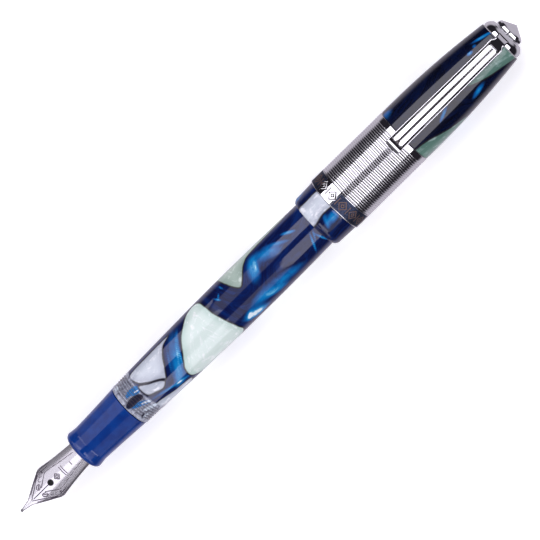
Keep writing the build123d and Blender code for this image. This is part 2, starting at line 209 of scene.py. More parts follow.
def piece(mesh, body, material, nodes, sharp=32):
    # a finished piece: smooth but for edges sharper than sharp degrees, on its body, for its CAD nodes
    mesh.polygons.foreach_set("use_smooth", np.ones(len(mesh.polygons), bool))
    mesh.set_sharp_from_angle(angle=math.radians(sharp))
    mesh.materials.clear()
    mesh.materials.append(material)
    thing = bpy.data.objects.new(mesh.name, mesh)
    bpy.context.scene.collection.objects.link(thing)
    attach(thing, body)
    if nodes:
        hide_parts(*nodes)
    return thing


# materials

class Flow:
    # wraps one output socket, so that sums and products of sockets read as plain maths

    def __init__(self, tree, socket=None):
        self.tree = tree
        self.socket = socket

    def node(self, kind, settings=None, sockets=None, out=0):
        made = self.tree.nodes.new(kind)
        for key, value in (settings or {}).items():
            if key == "stops":
                ramp = made.color_ramp
                while len(ramp.elements) < len(value):
                    ramp.elements.new(0.5)
                for element, (position, colour) in zip(ramp.elements, value):
                    element.position = position
                    element.color = (*colour, 1)
            else:
                setattr(made, key, value)
        for key, value in (sockets or {}).items():
            socket = made.inputs[key]
            if isinstance(value, Flow):
                self.tree.links.new(value.socket, socket)
            elif isinstance(value, tuple) and len(value) == 3 and socket.type == "RGBA":
                socket.default_value = (*value, 1)
            else:
                socket.default_value = value
        return Flow(self.tree, made.outputs[out])

    def maths(self, operation, *values):
        return self.node("ShaderNodeMath", {"operation": operation}, dict(enumerate(values)))

    def __add__(self, other):
        return self.maths("ADD", self, other)

    def __sub__(self, other):
        return self.maths("SUBTRACT", self, other)

    def __rsub__(self, other):
        return self.maths("SUBTRACT", other, self)

    def __mul__(self, other):
        return self.maths("MULTIPLY", self, other)

    def __truediv__(self, other):
        return self.maths("DIVIDE", self, other)

    __radd__ = __add__
    __rmul__ = __mul__

    def least(self, other):
        return self.maths("MINIMUM", self, other)

    def size(self):
        return self.maths("ABSOLUTE", self)

    def rise(self, low, high):
        # 0 below low, 1 above high, smooth between
        return self.node("ShaderNodeMapRange", {"interpolation_type": "SMOOTHSTEP"},
                         {0: self, 1: low, 2: high, 3: 0.0, 4: 1.0})

    def mix(self, first, second):
        # first where this mask is 0, second where it is 1
        return self.node("ShaderNodeMix", {"data_type": "RGBA"}, {0: self, 6: first, 7: second}, out=2)


def newMaterial(name):
    # an empty material: its shader node, and a Flow to start from
    material = bpy.data.materials.new(name)
    material.use_nodes = True
    tree = material.node_tree
    return material, tree.nodes["Principled BSDF"], Flow(tree)


def setShader(shader, flow, **sockets):
    # plain numbers and colours are set on the shader's own sockets, and a Flow is linked to its socket
    for key, value in sockets.items():
        socket = shader.inputs[key.replace("_", " ")]
        if isinstance(value, Flow):
            flow.tree.links.new(value.socket, socket)
        elif isinstance(value, tuple):
            socket.default_value = (*value, 1)
        else:
            socket.default_value = value


def rgb(red, green, blue):
    # a colour as seen on screen, 0 to 255, to the linear values that shaders use
    seen = [c / 255 for c in (red, green, blue)]
    return tuple(c / 12.92 if c <= 0.04045 else ((c + 0.055) / 1.055) ** 2.4 for c in seen)


def named(flow, name):
    return flow.node("ShaderNodeAttribute", {"attribute_name": name}, out=2)


def coordinates(flow):
    # Object coordinates in mm along the pen, across it and up from its axis
    whole = flow.node("ShaderNodeTexCoord", out=3)
    split = whole.node("ShaderNodeSeparateXYZ", None, {0: whole})
    parts = split.socket.node.outputs
    return tuple((Flow(flow.tree, s) - start) / mm for s, start in zip(parts, (pointX, 0.0, axisZ)))


def vector(x, y, z):
    flow = next(v for v in (x, y, z) if isinstance(v, Flow))
    return flow.node("ShaderNodeCombineXYZ", None, {0: x, 1: y, 2: z})


def noise(at, scale, detail=3.0, roughness=0.5, distortion=0.0):
    return at.node("ShaderNodeTexNoise", None, {
        "Vector": at, "Scale": scale, "Detail": detail, "Roughness": roughness, "Distortion": distortion,
    })


def bump(height, strength, distance):
    return height.node("ShaderNodeBump", None, {
        "Strength": strength, "Distance": distance * mm, "Height": height,
    })


# marbled resin: pale stones in a blue field, each with a thin dark rim
marble = {
    "unrolledRadius": 6.2,       # mm, at which angles become lengths
    "rimHalf": 0.2,              # half the rim's width
    "rim": rgb(30, 26, 32),
    # each tone of stone: its middle, its shade towards the edge, and its pale wisps
    "tones": [
        (rgb(216, 232, 224), rgb(164, 196, 184), rgb(246, 251, 249)),    # 0 mint
        (rgb(204, 212, 220), rgb(150, 156, 172), rgb(240, 243, 247)),    # 1 pearl
        (rgb(172, 190, 178), rgb(128, 152, 140), rgb(214, 226, 218)),    # 2 moss
        (rgb(96, 130, 118), rgb(70, 104, 94), rgb(150, 176, 168)),       # 3 mint in painted shade, darker for the cap's stones turned away from the light
    ],
    "navy": rgb(0, 10, 60), "deep": rgb(0, 38, 102), "blue": rgb(0, 80, 146), "sea": rgb(0, 120, 184),
    "ink": rgb(1, 4, 24), "inkDeep": rgb(0, 14, 52),
    "foam": rgb(98, 178, 216), "snow": rgb(226, 240, 247),
    # outlines of the stones: x in mm, angle from the top in degrees, after the number of their tone
    "stones": [
        (1, [(41.6, -56), (42.0, -25), (44, -8), (47, 9), (47.6, 17), (48.8, 3), (50, -14), (51, -30),
             (52.4, -46), (54.5, -58), (48, -60)]),
        (1, [(41.7, -16), (44, -4), (46.6, 9), (47.1, 19), (45.6, 27), (43.6, 21), (41.8, 12)]),
        (0, [(52.2, 60), (52.3, 30), (53.4, 15), (54.6, 0), (56, -18), (57.4, -33), (59, -47), (61, -66),
             (63, -74), (64.8, -64), (65.7, -38), (66.2, -15), (66.8, 2), (67.4, 22), (67.9, 43),
             (68, 70), (64, 98), (57, 96)]),
        (2, [(71.2, -74), (72.6, -42), (73.7, -23), (74.9, -13), (76.2, -21), (77.6, -36), (79, -50),
             (81, -61), (87, -68), (93, -76), (88, -96), (76, -110), (70, -98)]),
        (1, [(41.6, 44), (47, 54), (51.5, 62), (50, 84), (44, 92), (41.4, 70)]),
        (0, [(43, 130), (50, 118), (57, 134), (60, 165), (54, 190), (46, 178)]),
        (2, [(70, 118), (78, 106), (86, 122), (90, 150), (82, 172), (74, 160)]),
        (1, [(62, 190), (69, 178), (75, 205), (68, 232), (60, 222)]),
        (0, [(84, 196), (93, 188), (98, 210), (92, 238), (83, 228)]),
        (2, [(95, 96), (101, 88), (112, 110), (108, 140), (98, 132)]),
        (2, [(102, 20), (112, 8), (120, 40), (112, 62)]),
        (0, [(101, -120), (112, -100), (120, -130), (110, -160)]),
    ],
    # the cap was cut from another piece of the rod
    "capStones": [
        (1, [(94, -46), (98, -45), (104, -41), (104, -4), (100, -1), (94, 3)]),
        (2, [(94, 120), (104, 100), (106, 150), (96, 165)]),
        (3, [(122, 36), (125, 34), (128, 37), (131, 47), (134, 58), (138, 74), (136, 96), (128, 108),
             (122, 100)]),
        (3, [(142.4, 14), (145.1, 28), (147.7, 37), (151.8, 51), (155, 66), (158, 70), (158, 8),
             (150, 6), (145, 7)]),
        (3, [(126, 150), (136, 142), (142, 168), (136, 196), (127, 186)]),
        (2, [(140, 226), (148, 214), (156, 240), (158, 268), (148, 262)]),
        (3, [(122, 236), (130, 226), (134, 252), (128, 270), (122, 262)]),
    ],
    # clouds: x, angle, half length, half width in mm, lean in degrees, strength. Above 1 they whiten
    "clouds": [
        (79.6, -22, 2.6, 1.3, 60, 0.72), (80.6, -24, 1.6, 0.45, 70, 0.5), (84.5, -27, 3.4, 1.5, -22, 0.6),
        (91.2, -27, 1.6, 0.35, -30, 0.9), (88.2, -24, 2.4, 0.4, -30, 0.45),
        (73.2, 56, 2.6, 1.1, -16, 1.25), (71.6, 47, 1.2, 0.5, 40, 0.9), (79.5, 46, 3.2, 1.0, -20, 0.75),
        (84, 40, 4.6, 1.3, -12, 0.55), (75.5, 36, 4.0, 1.4, 10, 0.35),
        (68.9, -30, 0.9, 0.22, -55, 0.75), (69.6, -34, 0.7, 0.2, 50, 0.7), (71.2, -46, 0.9, 0.2, -75, 0.6),
        (93.6, 30, 2.4, 0.22, 66, 0.9), (96.0, 36, 2.0, 0.24, 105, 0.9), (94.9, 20, 1.5, 0.18, 60, 0.6),
        (52.4, 2, 7.5, 1.5, 62, 0.44), (54.2, -14, 3.6, 0.22, 57, 0.5), (52.9, 24, 2.6, 0.2, 68, 0.55),
        (53.4, 8, 2.2, 0.14, 62, 0.3), (50.8, -4, 3.0, 0.18, 60, 0.32),
        (55.6, -26, 3.0, 0.24, 58, 0.45), (50, 32, 4.5, 0.9, 50, 0.4),
        (46.0, 37, 4.0, 0.45, -14, 0.5), (49.5, 46, 2.4, 0.25, -12, 0.5),
        (75, 140, 6.0, 2.0, 20, 0.7), (88, 175, 6.0, 1.6, -25, 0.7), (64, 150, 5.0, 1.2, 40, 0.8),
        (90, -140, 6.0, 1.8, 15, 0.7), (58, -150, 5.0, 1.4, -30, 0.7), (108, 60, 6.0, 1.2, 15, 0.6),
        (114, -60, 5.0, 1.0, -20, 0.6), (106, -10, 4.0, 0.8, 40, 0.7), (120, 150, 4.0, 1.0, 10, 0.6),
    ],
    "capClouds": [
        (101.2, 15, 1.7, 0.9, 10, 0.72), (99.4, 12, 1.6, 0.5, 62, 0.5), (98, -75, 2.5, 1.0, 20, 0.5),
        (148.4, -27, 0.7, 0.35, 0, 0.8), (153.0, -37, 2.6, 0.4, -14, 0.75), (150.2, -33, 0.5, 0.4, 0, 0.5),
        (135, 22, 1.8, 0.3, 22, 0.75), (144.0, 42, 2.0, 0.6, 12, 0.62), (125.5, -58, 1.8, 1.4, 0, 0.35),
        (135, 120, 5.0, 1.4, 20, 0.7), (146, 150, 4.0, 1.2, -20, 0.7), (130, -110, 5.0, 1.5, 12, 0.6),
        (144, -130, 4.0, 1.2, 30, 0.7),
    ],
    # the clear front end under the cap's thread: blue glows and black clots in it, and white glints that
    # are painted highlights of the thread
    "glows": [
        (40.5, -15, 1.4, 0.95, -12, 1.3), (38.6, -20, 1.0, 0.5, 20, 0.9), (38.6, 13, 1.9, 0.7, -20, 0.85),
        (40.6, 24, 1.4, 0.5, -24, 0.7), (40, 120, 2.0, 1.2, 20, 0.9), (38, 200, 1.6, 1.4, 0, 0.8),
        (39, -110, 1.8, 1.2, 30, 0.8),
    ],
    "paintedGlints": [
        (40.6, -12, 0.9, 0.2, -14, 1.2), (40.8, 24, 1.8, 0.35, -26, 1.3), (40.0, 40, 2.2, 0.55, -22, 1.2),
        (38.0, 50, 1.8, 0.5, -10, 0.8), (37.2, -58, 0.9, 1.6, 0, 0.75), (41.0, 44, 1.2, 0.4, -10, 0.8),
        (38.4, 90, 2.0, 0.6, 10, 0.7), (39, 160, 1.6, 0.4, -30, 0.9), (38, -150, 1.6, 0.5, 20, 0.8),
    ],
    "clots": [
        (38.2, 0, 1.9, 1.0, 4, 1.3), (40.2, 4, 1.0, 0.7, -20, 0.9), (37.4, 44, 1.4, 0.6, 40, 0.6),
        (38, 140, 1.8, 0.9, 10, 1.0), (39, -80, 1.6, 0.8, -20, 0.9), (38.6, 240, 1.6, 1.0, 0, 1.0),
    ],
    "clearUntil": 41.5,          # mm from the point
}


def smoothLoop(corners, steps=6):
    # a closed curve through its corners: between two, the Catmull-Rom blend of them and their neighbours
    p = np.array(corners, float)
    before, after, beyond = np.roll(p, 1, 0), np.roll(p, -1, 0), np.roll(p, -2, 0)
    t = (np.arange(steps) / steps)[None, :, None]
    a, b, c, d = (q[:, None, :] for q in (before, p, after, beyond))
    curve = 0.5 * (2 * b + (c - a) * t + (2 * a - 5 * b + 4 * c - d) * t ** 2
                   + (3 * b - a - 3 * c + d) * t ** 3)
    return curve.reshape(-1, 2)


def stoneDistance(x, arc, loop):
    # how far each point lies from a closed loop in the unrolled sheet, below 0 inside it: the least
    # distance to its sides, with the sign from how often a line across the sheet meets the loop
    nearest = np.full(x.shape, 1e9)
    inside = np.zeros(x.shape, bool)
    for (ax, ay), (bx, by) in zip(loop, np.roll(loop, -1, 0)):
        dx, dy = bx - ax, by - ay
        t = np.clip(((x - ax) * dx + (arc - ay) * dy) / max(dx * dx + dy * dy, 1e-12), 0, 1)
        nearest = np.minimum(nearest, (x - ax - t * dx) ** 2 + (arc - ay - t * dy) ** 2)
        crosses = (ay > arc) != (by > arc)
        inside ^= crosses & (x < ax + dx * (arc - ay) / (dy if dy else 1e-12))
    return np.where(inside, -1, 1) * np.sqrt(nearest)


def bells(x, angle, marks):
    # the sum of bell curves over the unrolled sheet, each stretched along its length and leaned
    total = np.zeros(x.shape)
    for cx, ca, length, width, lean, strength in marks:
        along = x - cx
        across = (angle - math.radians(ca) + math.pi) % (2 * math.pi) - math.pi
        across = across * marble["unrolledRadius"]
        c, s = math.cos(math.radians(lean)), math.sin(math.radians(lean))
        a, b = (along * c - across * s) / length, (along * s + across * c) / width
        total += strength * np.exp(-a ** 2 - b ** 2)
    return total


def marbleAttributes(mesh, stones, clouds, dark):
    # stone: distance in mm to the nearest stone's edge, below 0 inside. tone: that stone's tone
    x, angle = onPen(mesh)[:2]
    girth = 2 * math.pi * marble["unrolledRadius"]
    arc = angle * marble["unrolledRadius"]
    stone = np.full(x.shape, 1e9)
    tone = np.zeros(x.shape)
    for kind, corners in stones:
        sheet = [(cx, math.radians(ca) * marble["unrolledRadius"]) for cx, ca in corners]
        loop = smoothLoop(sheet)
        low, high = loop[:, 1].min(), loop[:, 1].max()
        for turn in (-girth, 0, girth):
            if high + turn < -girth / 2 - 6 or low + turn > girth / 2 + 6:
                continue
            d = stoneDistance(x, arc - turn, loop)
            tone = np.where(d < stone, kind, tone)
            stone = np.minimum(stone, d)
    attribute(mesh, "stone", np.clip(stone, -8, 8))
    attribute(mesh, "tone", tone)
    attribute(mesh, "cloud", bells(x, angle, clouds))
    attribute(mesh, "dark", np.full(x.shape, dark))


def stoneColour(tone, wisp, shore):
    # the three colours of each tone, mixed by where the surface is, then the tones laid over each other
    colour = None
    for number, (middle, shade, pale) in enumerate(marble["tones"]):
        this = wisp.mix((shore * 0.6).mix(middle, shade), pale)
        colour = this if colour is None else tone.rise(number - 0.6, number - 0.4).mix(colour, this)
    return colour


def clearFront(flow, here, x):
    # grey translucent resin with blue glows and black clots, painted white highlights where the glint marks
    # lie, and painted shade that darkens the thread's grooves
    swirl = noise(here, 0.9, 3.0, 0.55, 0.8)
    ring = noise(vector(x * 2.6, swirl * 2.0, 0.0), 1.0, 2.0, 0.5)
    clear = swirl.rise(0.3, 0.7).mix(rgb(104, 106, 120), rgb(176, 182, 196))
    glow = (named(flow, "glow") * (0.7 + 0.6 * ring)).least(1.0)
    clear = glow.rise(0.2, 0.55).mix(clear, rgb(0, 112, 180))
    clear = (named(flow, "clot") * (0.75 + 0.5 * swirl)).rise(0.3, 0.6).mix(clear, rgb(2, 10, 44))
    # painted highlights of the thread: white where the glint marks lie
    clear = (named(flow, "glint") * (0.5 + ring)).rise(0.4, 0.75).mix(clear, rgb(214, 226, 238))
    # painted shade in the thread's grooves, darker where they are deeper
    return (named(flow, "groove") * 0.5).mix(clear, rgb(66, 60, 68))


def marbledResin():
    material, shader, flow = newMaterial("marbledResin")
    x, y, z = coordinates(flow)
    stone, cloud = named(flow, "stone"), named(flow, "cloud")
    here = vector(x, y, z)
    drift = noise(here, 0.35, 2.0) - 0.5
    edge = stone + drift * 0.25
    # streaks run beside the stones: the noise is fine across their distance and long along it
    silk = noise(vector(edge * 1.3, x * 0.16 + drift * 2.0, (y + z) * 0.13), 1.0, 4.0, 0.6, 0.6)
    fine = noise(vector(edge * 4.0, x * 0.5, (y - z) * 0.3), 1.0, 3.0, 0.6, 0.4)
    soft = noise(here, 0.6, 3.0, 0.55, 0.6)
    grain = noise(here, 9.0, 2.0)
    # the blue field
    dark = named(flow, "dark")
    field = silk.rise(0.35, 0.75).mix(marble["navy"], marble["deep"])
    field = dark.mix(field, silk.rise(0.35, 0.75).mix(marble["ink"], marble["inkDeep"]))
    lit = cloud * (0.55 + 0.9 * soft) * (0.75 + 0.5 * fine)
    field = lit.rise(0.08, 0.36).mix(field, marble["blue"])
    field = lit.rise(0.3, 0.62).mix(field, marble["sea"])
    field = lit.rise(0.6, 0.95).mix(field, marble["foam"])
    field = lit.rise(0.9, 1.15).mix(field, marble["snow"])
    # the stones, shaded towards their edges and combed with pale wisps
    shore = (edge + 2.4).rise(0.0, 2.4) * (0.5 + soft)
    wisp = (silk * 0.5 + soft * 0.5).rise(0.5, 0.68)
    body = edge.rise(-0.06, 0.06).mix(stoneColour(named(flow, "tone"), wisp, shore), field)
    rim = 1 - edge.size().rise(marble["rimHalf"] * 0.4, marble["rimHalf"] * 1.6)
    body = (rim * (0.75 + 0.3 * grain)).least(1.0).mix(body, marble["rim"])
    clear = clearFront(flow, here, x)
    body = (x + drift * 1.2 - marble["clearUntil"]).rise(-0.3, 0.3).mix(clear, body)
    setShader(
        shader, flow, Base_Color=body, Roughness=0.3 + 0.1 * grain, Coat_Weight=1.0, Coat_Roughness=0.04,
        Coat_IOR=1.5, Specular_IOR_Level=0.08,
    )
    return material


def blueResin():
    # one clean royal blue with the faintest cloudiness, and hairlines from polishing
    material, shader, flow = newMaterial("blueResin")
    x, y, z = coordinates(flow)
    cloudy = noise(vector(x, y, z), 0.4, 3.0)
    hairline = noise(vector(x * 14, y * 0.8, z * 0.8), 1.0, 2.0)
    base = cloudy.rise(0.3, 0.7).mix(rgb(0, 44, 118), rgb(0, 56, 134))
    setShader(
        shader, flow, Base_Color=base, Roughness=0.3 + 0.06 * hairline, Coat_Weight=1.0,
        Coat_Roughness=0.05, Specular_IOR_Level=0.08, Normal=bump(hairline, 0.04, 0.01),
    )
    return material


brightPlate = (0.83, 0.83, 0.85)


def chrome(name, tint=brightPlate, roughness=0.035, wear=0.05):
    # bright plate with faint haze and hairlines that run round the pen
    material, shader, flow = newMaterial(name)
    x, y, z = coordinates(flow)
    haze = noise(vector(x, y, z), 0.5, 3.0)
    hairline = noise(vector(x * 22, y * 1.2, z * 1.2), 1.0, 2.0)
    base = haze.rise(0.3, 0.75).mix(tint, tuple(c * 0.95 for c in tint))
    setShader(
        shader, flow, Base_Color=base, Metallic=1.0,
        Roughness=roughness + wear * haze * hairline, Normal=bump(hairline, 0.02, 0.005),
    )
    return material


def engravedChrome():
    # the same plate, with satin dark panels, and the ornament's sunk lines left dull and brown
    material, shader, flow = newMaterial("engravedChrome")
    x, y, z = coordinates(flow)
    cut, panel = named(flow, "cut").rise(0.35, 0.65), named(flow, "panel")
    haze = noise(vector(x, y, z), 0.5, 3.0)
    grain = noise(vector(x, y, z), 5.0, 3.0)
    satin = grain.rise(0.35, 0.65).mix(rgb(40, 46, 62), rgb(72, 80, 104))
    base = panel.mix(brightPlate, satin)
    base = cut.mix(base, panel.mix(rgb(34, 26, 28), rgb(140, 118, 110)))
    setShader(
        shader, flow, Base_Color=base, Metallic=1.0,
        Roughness=0.035 + 0.3 * cut + 0.42 * panel + 0.03 * haze,
    )
    return material


def grooved(name, tint=brightPlate):
    # bright plate with painted shade in the narrow grooves and steps that the mesh marks
    material, shader, flow = newMaterial(name)
    x, y, z = coordinates(flow)
    cut = named(flow, "cut").rise(0.3, 0.7)
    haze = noise(vector(x, y, z), 0.5, 3.0)
    base = (cut * 0.9).mix(tint, rgb(66, 58, 60))
    setShader(shader, flow, Base_Color=base, Metallic=1.0, Roughness=0.05 + 0.25 * cut + 0.04 * haze)
    return material


def nibSteel():
    # polished steel with a fine lengthwise brush, engraved lines that hold a grey shade, and the same
    # painted grey shade along the outer edge and beside the slit
    material, shader, flow = newMaterial("nibSteel")
    x, y, z = coordinates(flow)
    line = named(flow, "engraving")
    cut = 1 - line.rise(0.06, 0.14)
    brush = noise(vector(x * 0.7, y * 16, z * 6), 1.0, 3.0, 0.6)
    base = brush.rise(0.25, 0.8).mix((0.80, 0.78, 0.82), (0.70, 0.68, 0.72))
    # grey along the engraved lines, and painted shade near the outer edge and the slit
    base = (cut * 0.92).mix(base, rgb(84, 74, 90))
    setShader(
        shader, flow, Base_Color=base, Metallic=1.0, Roughness=0.2 + 0.08 * brush + 0.15 * cut,
        Normal=bump((1 - cut) + brush * 0.04, 0.5, 0.06),
    )
    return material


def tippingAlloy():
    material, shader, flow = newMaterial("tippingAlloy")
    x, y, z = coordinates(flow)
    pits = noise(vector(x, y, z), 6.0, 3.0)
    base = pits.rise(0.35, 0.7).mix(rgb(150, 148, 152), rgb(92, 90, 96))
    setShader(shader, flow, Base_Color=base, Metallic=1.0, Roughness=0.3 + 0.15 * pits)
    return material


def blackPlastic(name, shade, roughness, grainScale):
    # moulded black plastic with a fine grain
    material, shader, flow = newMaterial(name)
    x, y, z = coordinates(flow)
    grain = noise(vector(x, y, z), grainScale, 3.0, 0.6)
    base = grain.rise(0.3, 0.7).mix(shade, tuple(c * 1.7 for c in shade))
    setShader(
        shader, flow, Base_Color=base, Roughness=roughness + 0.12 * grain,
        Normal=bump(grain, 0.15, 0.02),
    )
    return material


def clearPlastic():
    # the ink chamber: nearly clear, a little bluer in places along its moulding ripples
    material, shader, flow = newMaterial("clearPlastic")
    x, y, z = coordinates(flow)
    ripple = noise(vector(x * 0.6, y * 2, z * 2), 1.0, 2.0)
    base = ripple.rise(0.3, 0.7).mix(rgb(214, 224, 232), rgb(190, 206, 222))
    setShader(
        shader, flow, Base_Color=base, Roughness=0.06 + 0.05 * ripple, Alpha=0.3 + 0.12 * ripple,
        Coat_Weight=0.6, Coat_Roughness=0.03,
    )
    return material


resin, gripResin, plate = marbledResin(), blueResin(), chrome("chromePlate")
bandPlate, steel, pelletAlloy = engravedChrome(), nibSteel(), tippingAlloy()
groovedPlate = grooved("groovedPlate")
satinPlate = chrome("satinPlate", (0.72, 0.72, 0.74), 0.16, 0.15)
feedPlastic = blackPlastic("feedPlastic", (0.012, 0.012, 0.013), 0.5, 14.0)
glossBlack = blackPlastic("glossBlack", (0.014, 0.014, 0.016), 0.2, 5.0)
linerPlastic = blackPlastic("linerPlastic", (0.03, 0.03, 0.034), 0.38, 8.0)
sealRubber = blackPlastic("sealRubber", (0.016, 0.016, 0.016), 0.62, 20.0)
tubePlastic = clearPlastic()
print("materials made")


# barrel
barrel = {
    "threadStart": 36.7, "threadEnd": 41.0, "threadPitch": 0.67, "threadDepth": 0.24,
    "fattestX": 70.0, "fattestRadius": 6.305, "fattestLength": 4.0,
    "mouthX": 96.4, "mouthRadius": 5.965, "domeRadius": 2.0,
    "boreRadius": 4.1, "boreEnd": 105.5, "bushRadius": 4.40, "bushDepth": 8.45,
    "seatRadius": 5.15, "seatDepth": 0.8, "outsideFrom": 5.3, "sides": 168, "rowLength": 0.3,
}


def barrelOutline():
    front, back, _ = span("barrel")
    b = barrel
    domeX = back - b["domeRadius"]
    k = b["domeRadius"] / math.sqrt(2)
    flat = b["fattestLength"] / 2
    threads = np.stack([np.arange(front + 0.25, b["threadEnd"] + 0.3, 0.045), ] * 2, -1)
    threads[:, 1] = np.interp(threads[:, 0], [front, b["threadEnd"] + 0.3], [5.63, 5.76])
    outer = [
        (front, b["seatRadius"]), (front, 5.6, 0.08), threads,
        arcThrough((b["threadEnd"] + 0.35, 5.765), (54.5, 6.09),
                   (b["fattestX"] - flat, b["fattestRadius"]), 24),
        arcThrough((b["fattestX"] + flat, b["fattestRadius"]), (85, 6.215),
                   (b["mouthX"], b["mouthRadius"]), 24),
        arcThrough((b["mouthX"] + 0.3, b["mouthRadius"] - 0.016), (112, 4.62),
                   (domeX, b["domeRadius"]), 24)[1:],
        arcThrough((domeX + 0.1, b["domeRadius"] - 0.005), (domeX + k, k), (back, 0), 10),
    ]
    bore = [
        (b["boreEnd"] + 2.4, 0), (b["boreEnd"], b["boreRadius"]),
        (front + b["bushDepth"] + 0.3, b["boreRadius"]), (front + b["bushDepth"], b["bushRadius"]),
        (front + b["seatDepth"], b["bushRadius"]), (front + b["seatDepth"], b["seatRadius"]),
    ]
    return divided(rounded(outer + bore), b["rowLength"])


def capThread(x, angle, r):
    # a helical groove, only on the outside
    b = barrel
    groove = helix(x, angle, b["threadPitch"]) ** 0.8
    fade = between(x, b["threadStart"], b["threadEnd"], 0.4)
    return np.where(r > b["outsideFrom"], b["threadDepth"] * groove * fade, 0)


def threadMarks(mesh):
    x, angle, r = onPen(mesh)[:3]
    near = x < marble["clearUntil"] + 2
    for name, marks in (("glow", "glows"), ("glint", "paintedGlints"), ("clot", "clots")):
        attribute(mesh, name, np.where(near, bells(x, angle, marble[marks]), 0))
    # the groove's depth, which the shader turns into painted shade
    attribute(mesh, "groove", capThread(x, angle, r) / barrel["threadDepth"])


barrelMesh = turned("barrelShell", barrelOutline(), barrel["sides"], capThread)
marbleAttributes(barrelMesh, marble["stones"], marble["clouds"], 0.0)
threadMarks(barrelMesh)
piece(barrelMesh, "barrel", resin, ["barrel"], sharp=50)
print("barrel made")


# grip section, its threaded bush, the seal and the nib's housing
grip = {"boreRadius": 4.1, "lipRadius": 4.45, "beadX": 21.2, "beadRadius": 5.18, "neckX": 23.2,
        "neckRadius": 4.95, "waistX": 29.5, "waistRadius": 5.2, "backRadius": 5.53}
bush = {"shoulderX": 36.0, "boreRadius": 3.5, "spigotRadius": 4.05, "radius": 4.35, "threadDepth": 0.28,
        "threadPitch": 0.75, "threadFrom": 37.3, "threadTo": 43.5, "outsideFrom": 4.2}
housing = {"boreRadius": 3.6, "wallX": 31.2, "nippleRadius": 1.2, "nippleBore": 0.6, "nippleRoot": 33.3}


def gripMesh():
    front, back, _ = span("grip_section")
    g = grip
    return turned("gripSection", rounded([
        (front, g["boreRadius"], 0.05), (front, g["lipRadius"]),
        arcThrough((front + 0.06, g["lipRadius"] + 0.25), (front + 0.35, 5.0),
                   (g["beadX"], g["beadRadius"]), 12),
        arcThrough((g["beadX"] + 0.1, g["beadRadius"] - 0.004), (g["beadX"] + 0.85, 5.07),
                   (g["neckX"], g["neckRadius"]), 12),
        arcThrough((g["neckX"] + 0.2, g["neckRadius"] + 0.005), (g["waistX"], g["waistRadius"]),
                   (back - 0.12, g["backRadius"]), 16),
        (back, g["backRadius"] - 0.1), (back, g["boreRadius"], 0.05),
    ]), 128)


def bushThread(x, angle, r):
    b = bush
    groove = helix(x, angle, b["threadPitch"]) * between(x, b["threadFrom"], b["threadTo"], 0.3)
    return np.where(r > b["outsideFrom"], b["threadDepth"] * groove, 0)


def bushMesh():
    front, back, _ = span("section_thread_bush")
    b = bush
    rows = np.stack([np.arange(b["threadFrom"], b["threadTo"], 0.06), ] * 2, -1)
    rows[:, 1] = b["radius"]
    return turned("threadBush", rounded([
        (front, b["boreRadius"], 0.05), (front, b["spigotRadius"], 0.1),
        (b["shoulderX"], b["spigotRadius"]), (b["shoulderX"], b["radius"], 0.05), rows,
        (back, b["radius"] - 0.1, 0.15), (back, b["boreRadius"], 0.05),
    ]), 96, bushThread)


def sealRingMesh():
    # a torus: the wire's circle carried round the pen
    front, back, outer = span("section_o_ring")
    wire = (back - front) / 2
    t = np.linspace(0, 2 * math.pi, 20, endpoint=False)
    outline = np.stack([(front + back) / 2 + wire * np.cos(t), outer - wire + wire * np.sin(t)], -1)
    return turned("sealRing", outline, 72)


def housingMesh():
    front, back, outer = span("nib_housing")
    h = housing
    return turned("nibHousing", rounded([
        (front, h["boreRadius"], 0.05), (front, outer, 0.15), (h["nippleRoot"], outer, 0.1),
        (h["nippleRoot"], h["nippleRadius"]), (back, h["nippleRadius"], 0.25), (back, h["nippleBore"], 0.1),
        (h["wallX"], h["nippleBore"]), (h["wallX"], h["boreRadius"]),
    ]), 72)


piece(gripMesh(), "grip", gripResin, ["grip_section"])
piece(bushMesh(), "thread_bush", glossBlack, ["section_thread_bush"], sharp=50)
piece(sealRingMesh(), "seal_ring", sealRubber, ["section_o_ring"])
piece(housingMesh(), "grip", glossBlack, ["nib_housing"])
print("grip made")


# nib, pellet and feed
nib = {
    "thick": 0.35, "mouthX": 20.6, "tailRadius": 3.55, "tailHalfAngle": 100, "frontRadius": 6.3,
    "frontCrown": 1.05, "startX": 0.62, "slitHalf": 0.06, "breatherX": 10.3, "breatherRadius": 0.78,
    "shoulderX": 10.2, "across": 22,
}


def nibHalfWidth(x):
    # seen from above: straight flanks from the point, round shoulders, a long waist to the tail
    flank = np.interp(x, [0.0, 0.45, 3.2, 8.6], [0.12, 0.24, 0.74, 3.75])
    shoulders = arcThrough((8.6, 3.75), (9.3, 4.16), (nib["shoulderX"], 4.3), 12)
    waist = arcThrough((nib["shoulderX"], 4.3), (14.4, 3.72), (nib["mouthX"], 3.25), 24)
    curve = np.concatenate([shoulders, waist[1:]])
    return np.where(x < 8.6, flank, np.interp(x, curve[:, 0], curve[:, 1]))


def nibRoll(x):
    # the sheet is rolled to a leaning cone: radius and height of its centre at each x
    t = np.clip(x / nib["mouthX"], 0, 1)
    radius = nib["frontRadius"] + (nib["tailRadius"] - nib["frontRadius"]) * t
    centre = (nib["frontCrown"] - nib["frontRadius"]) * (1 - t)
    return radius, centre


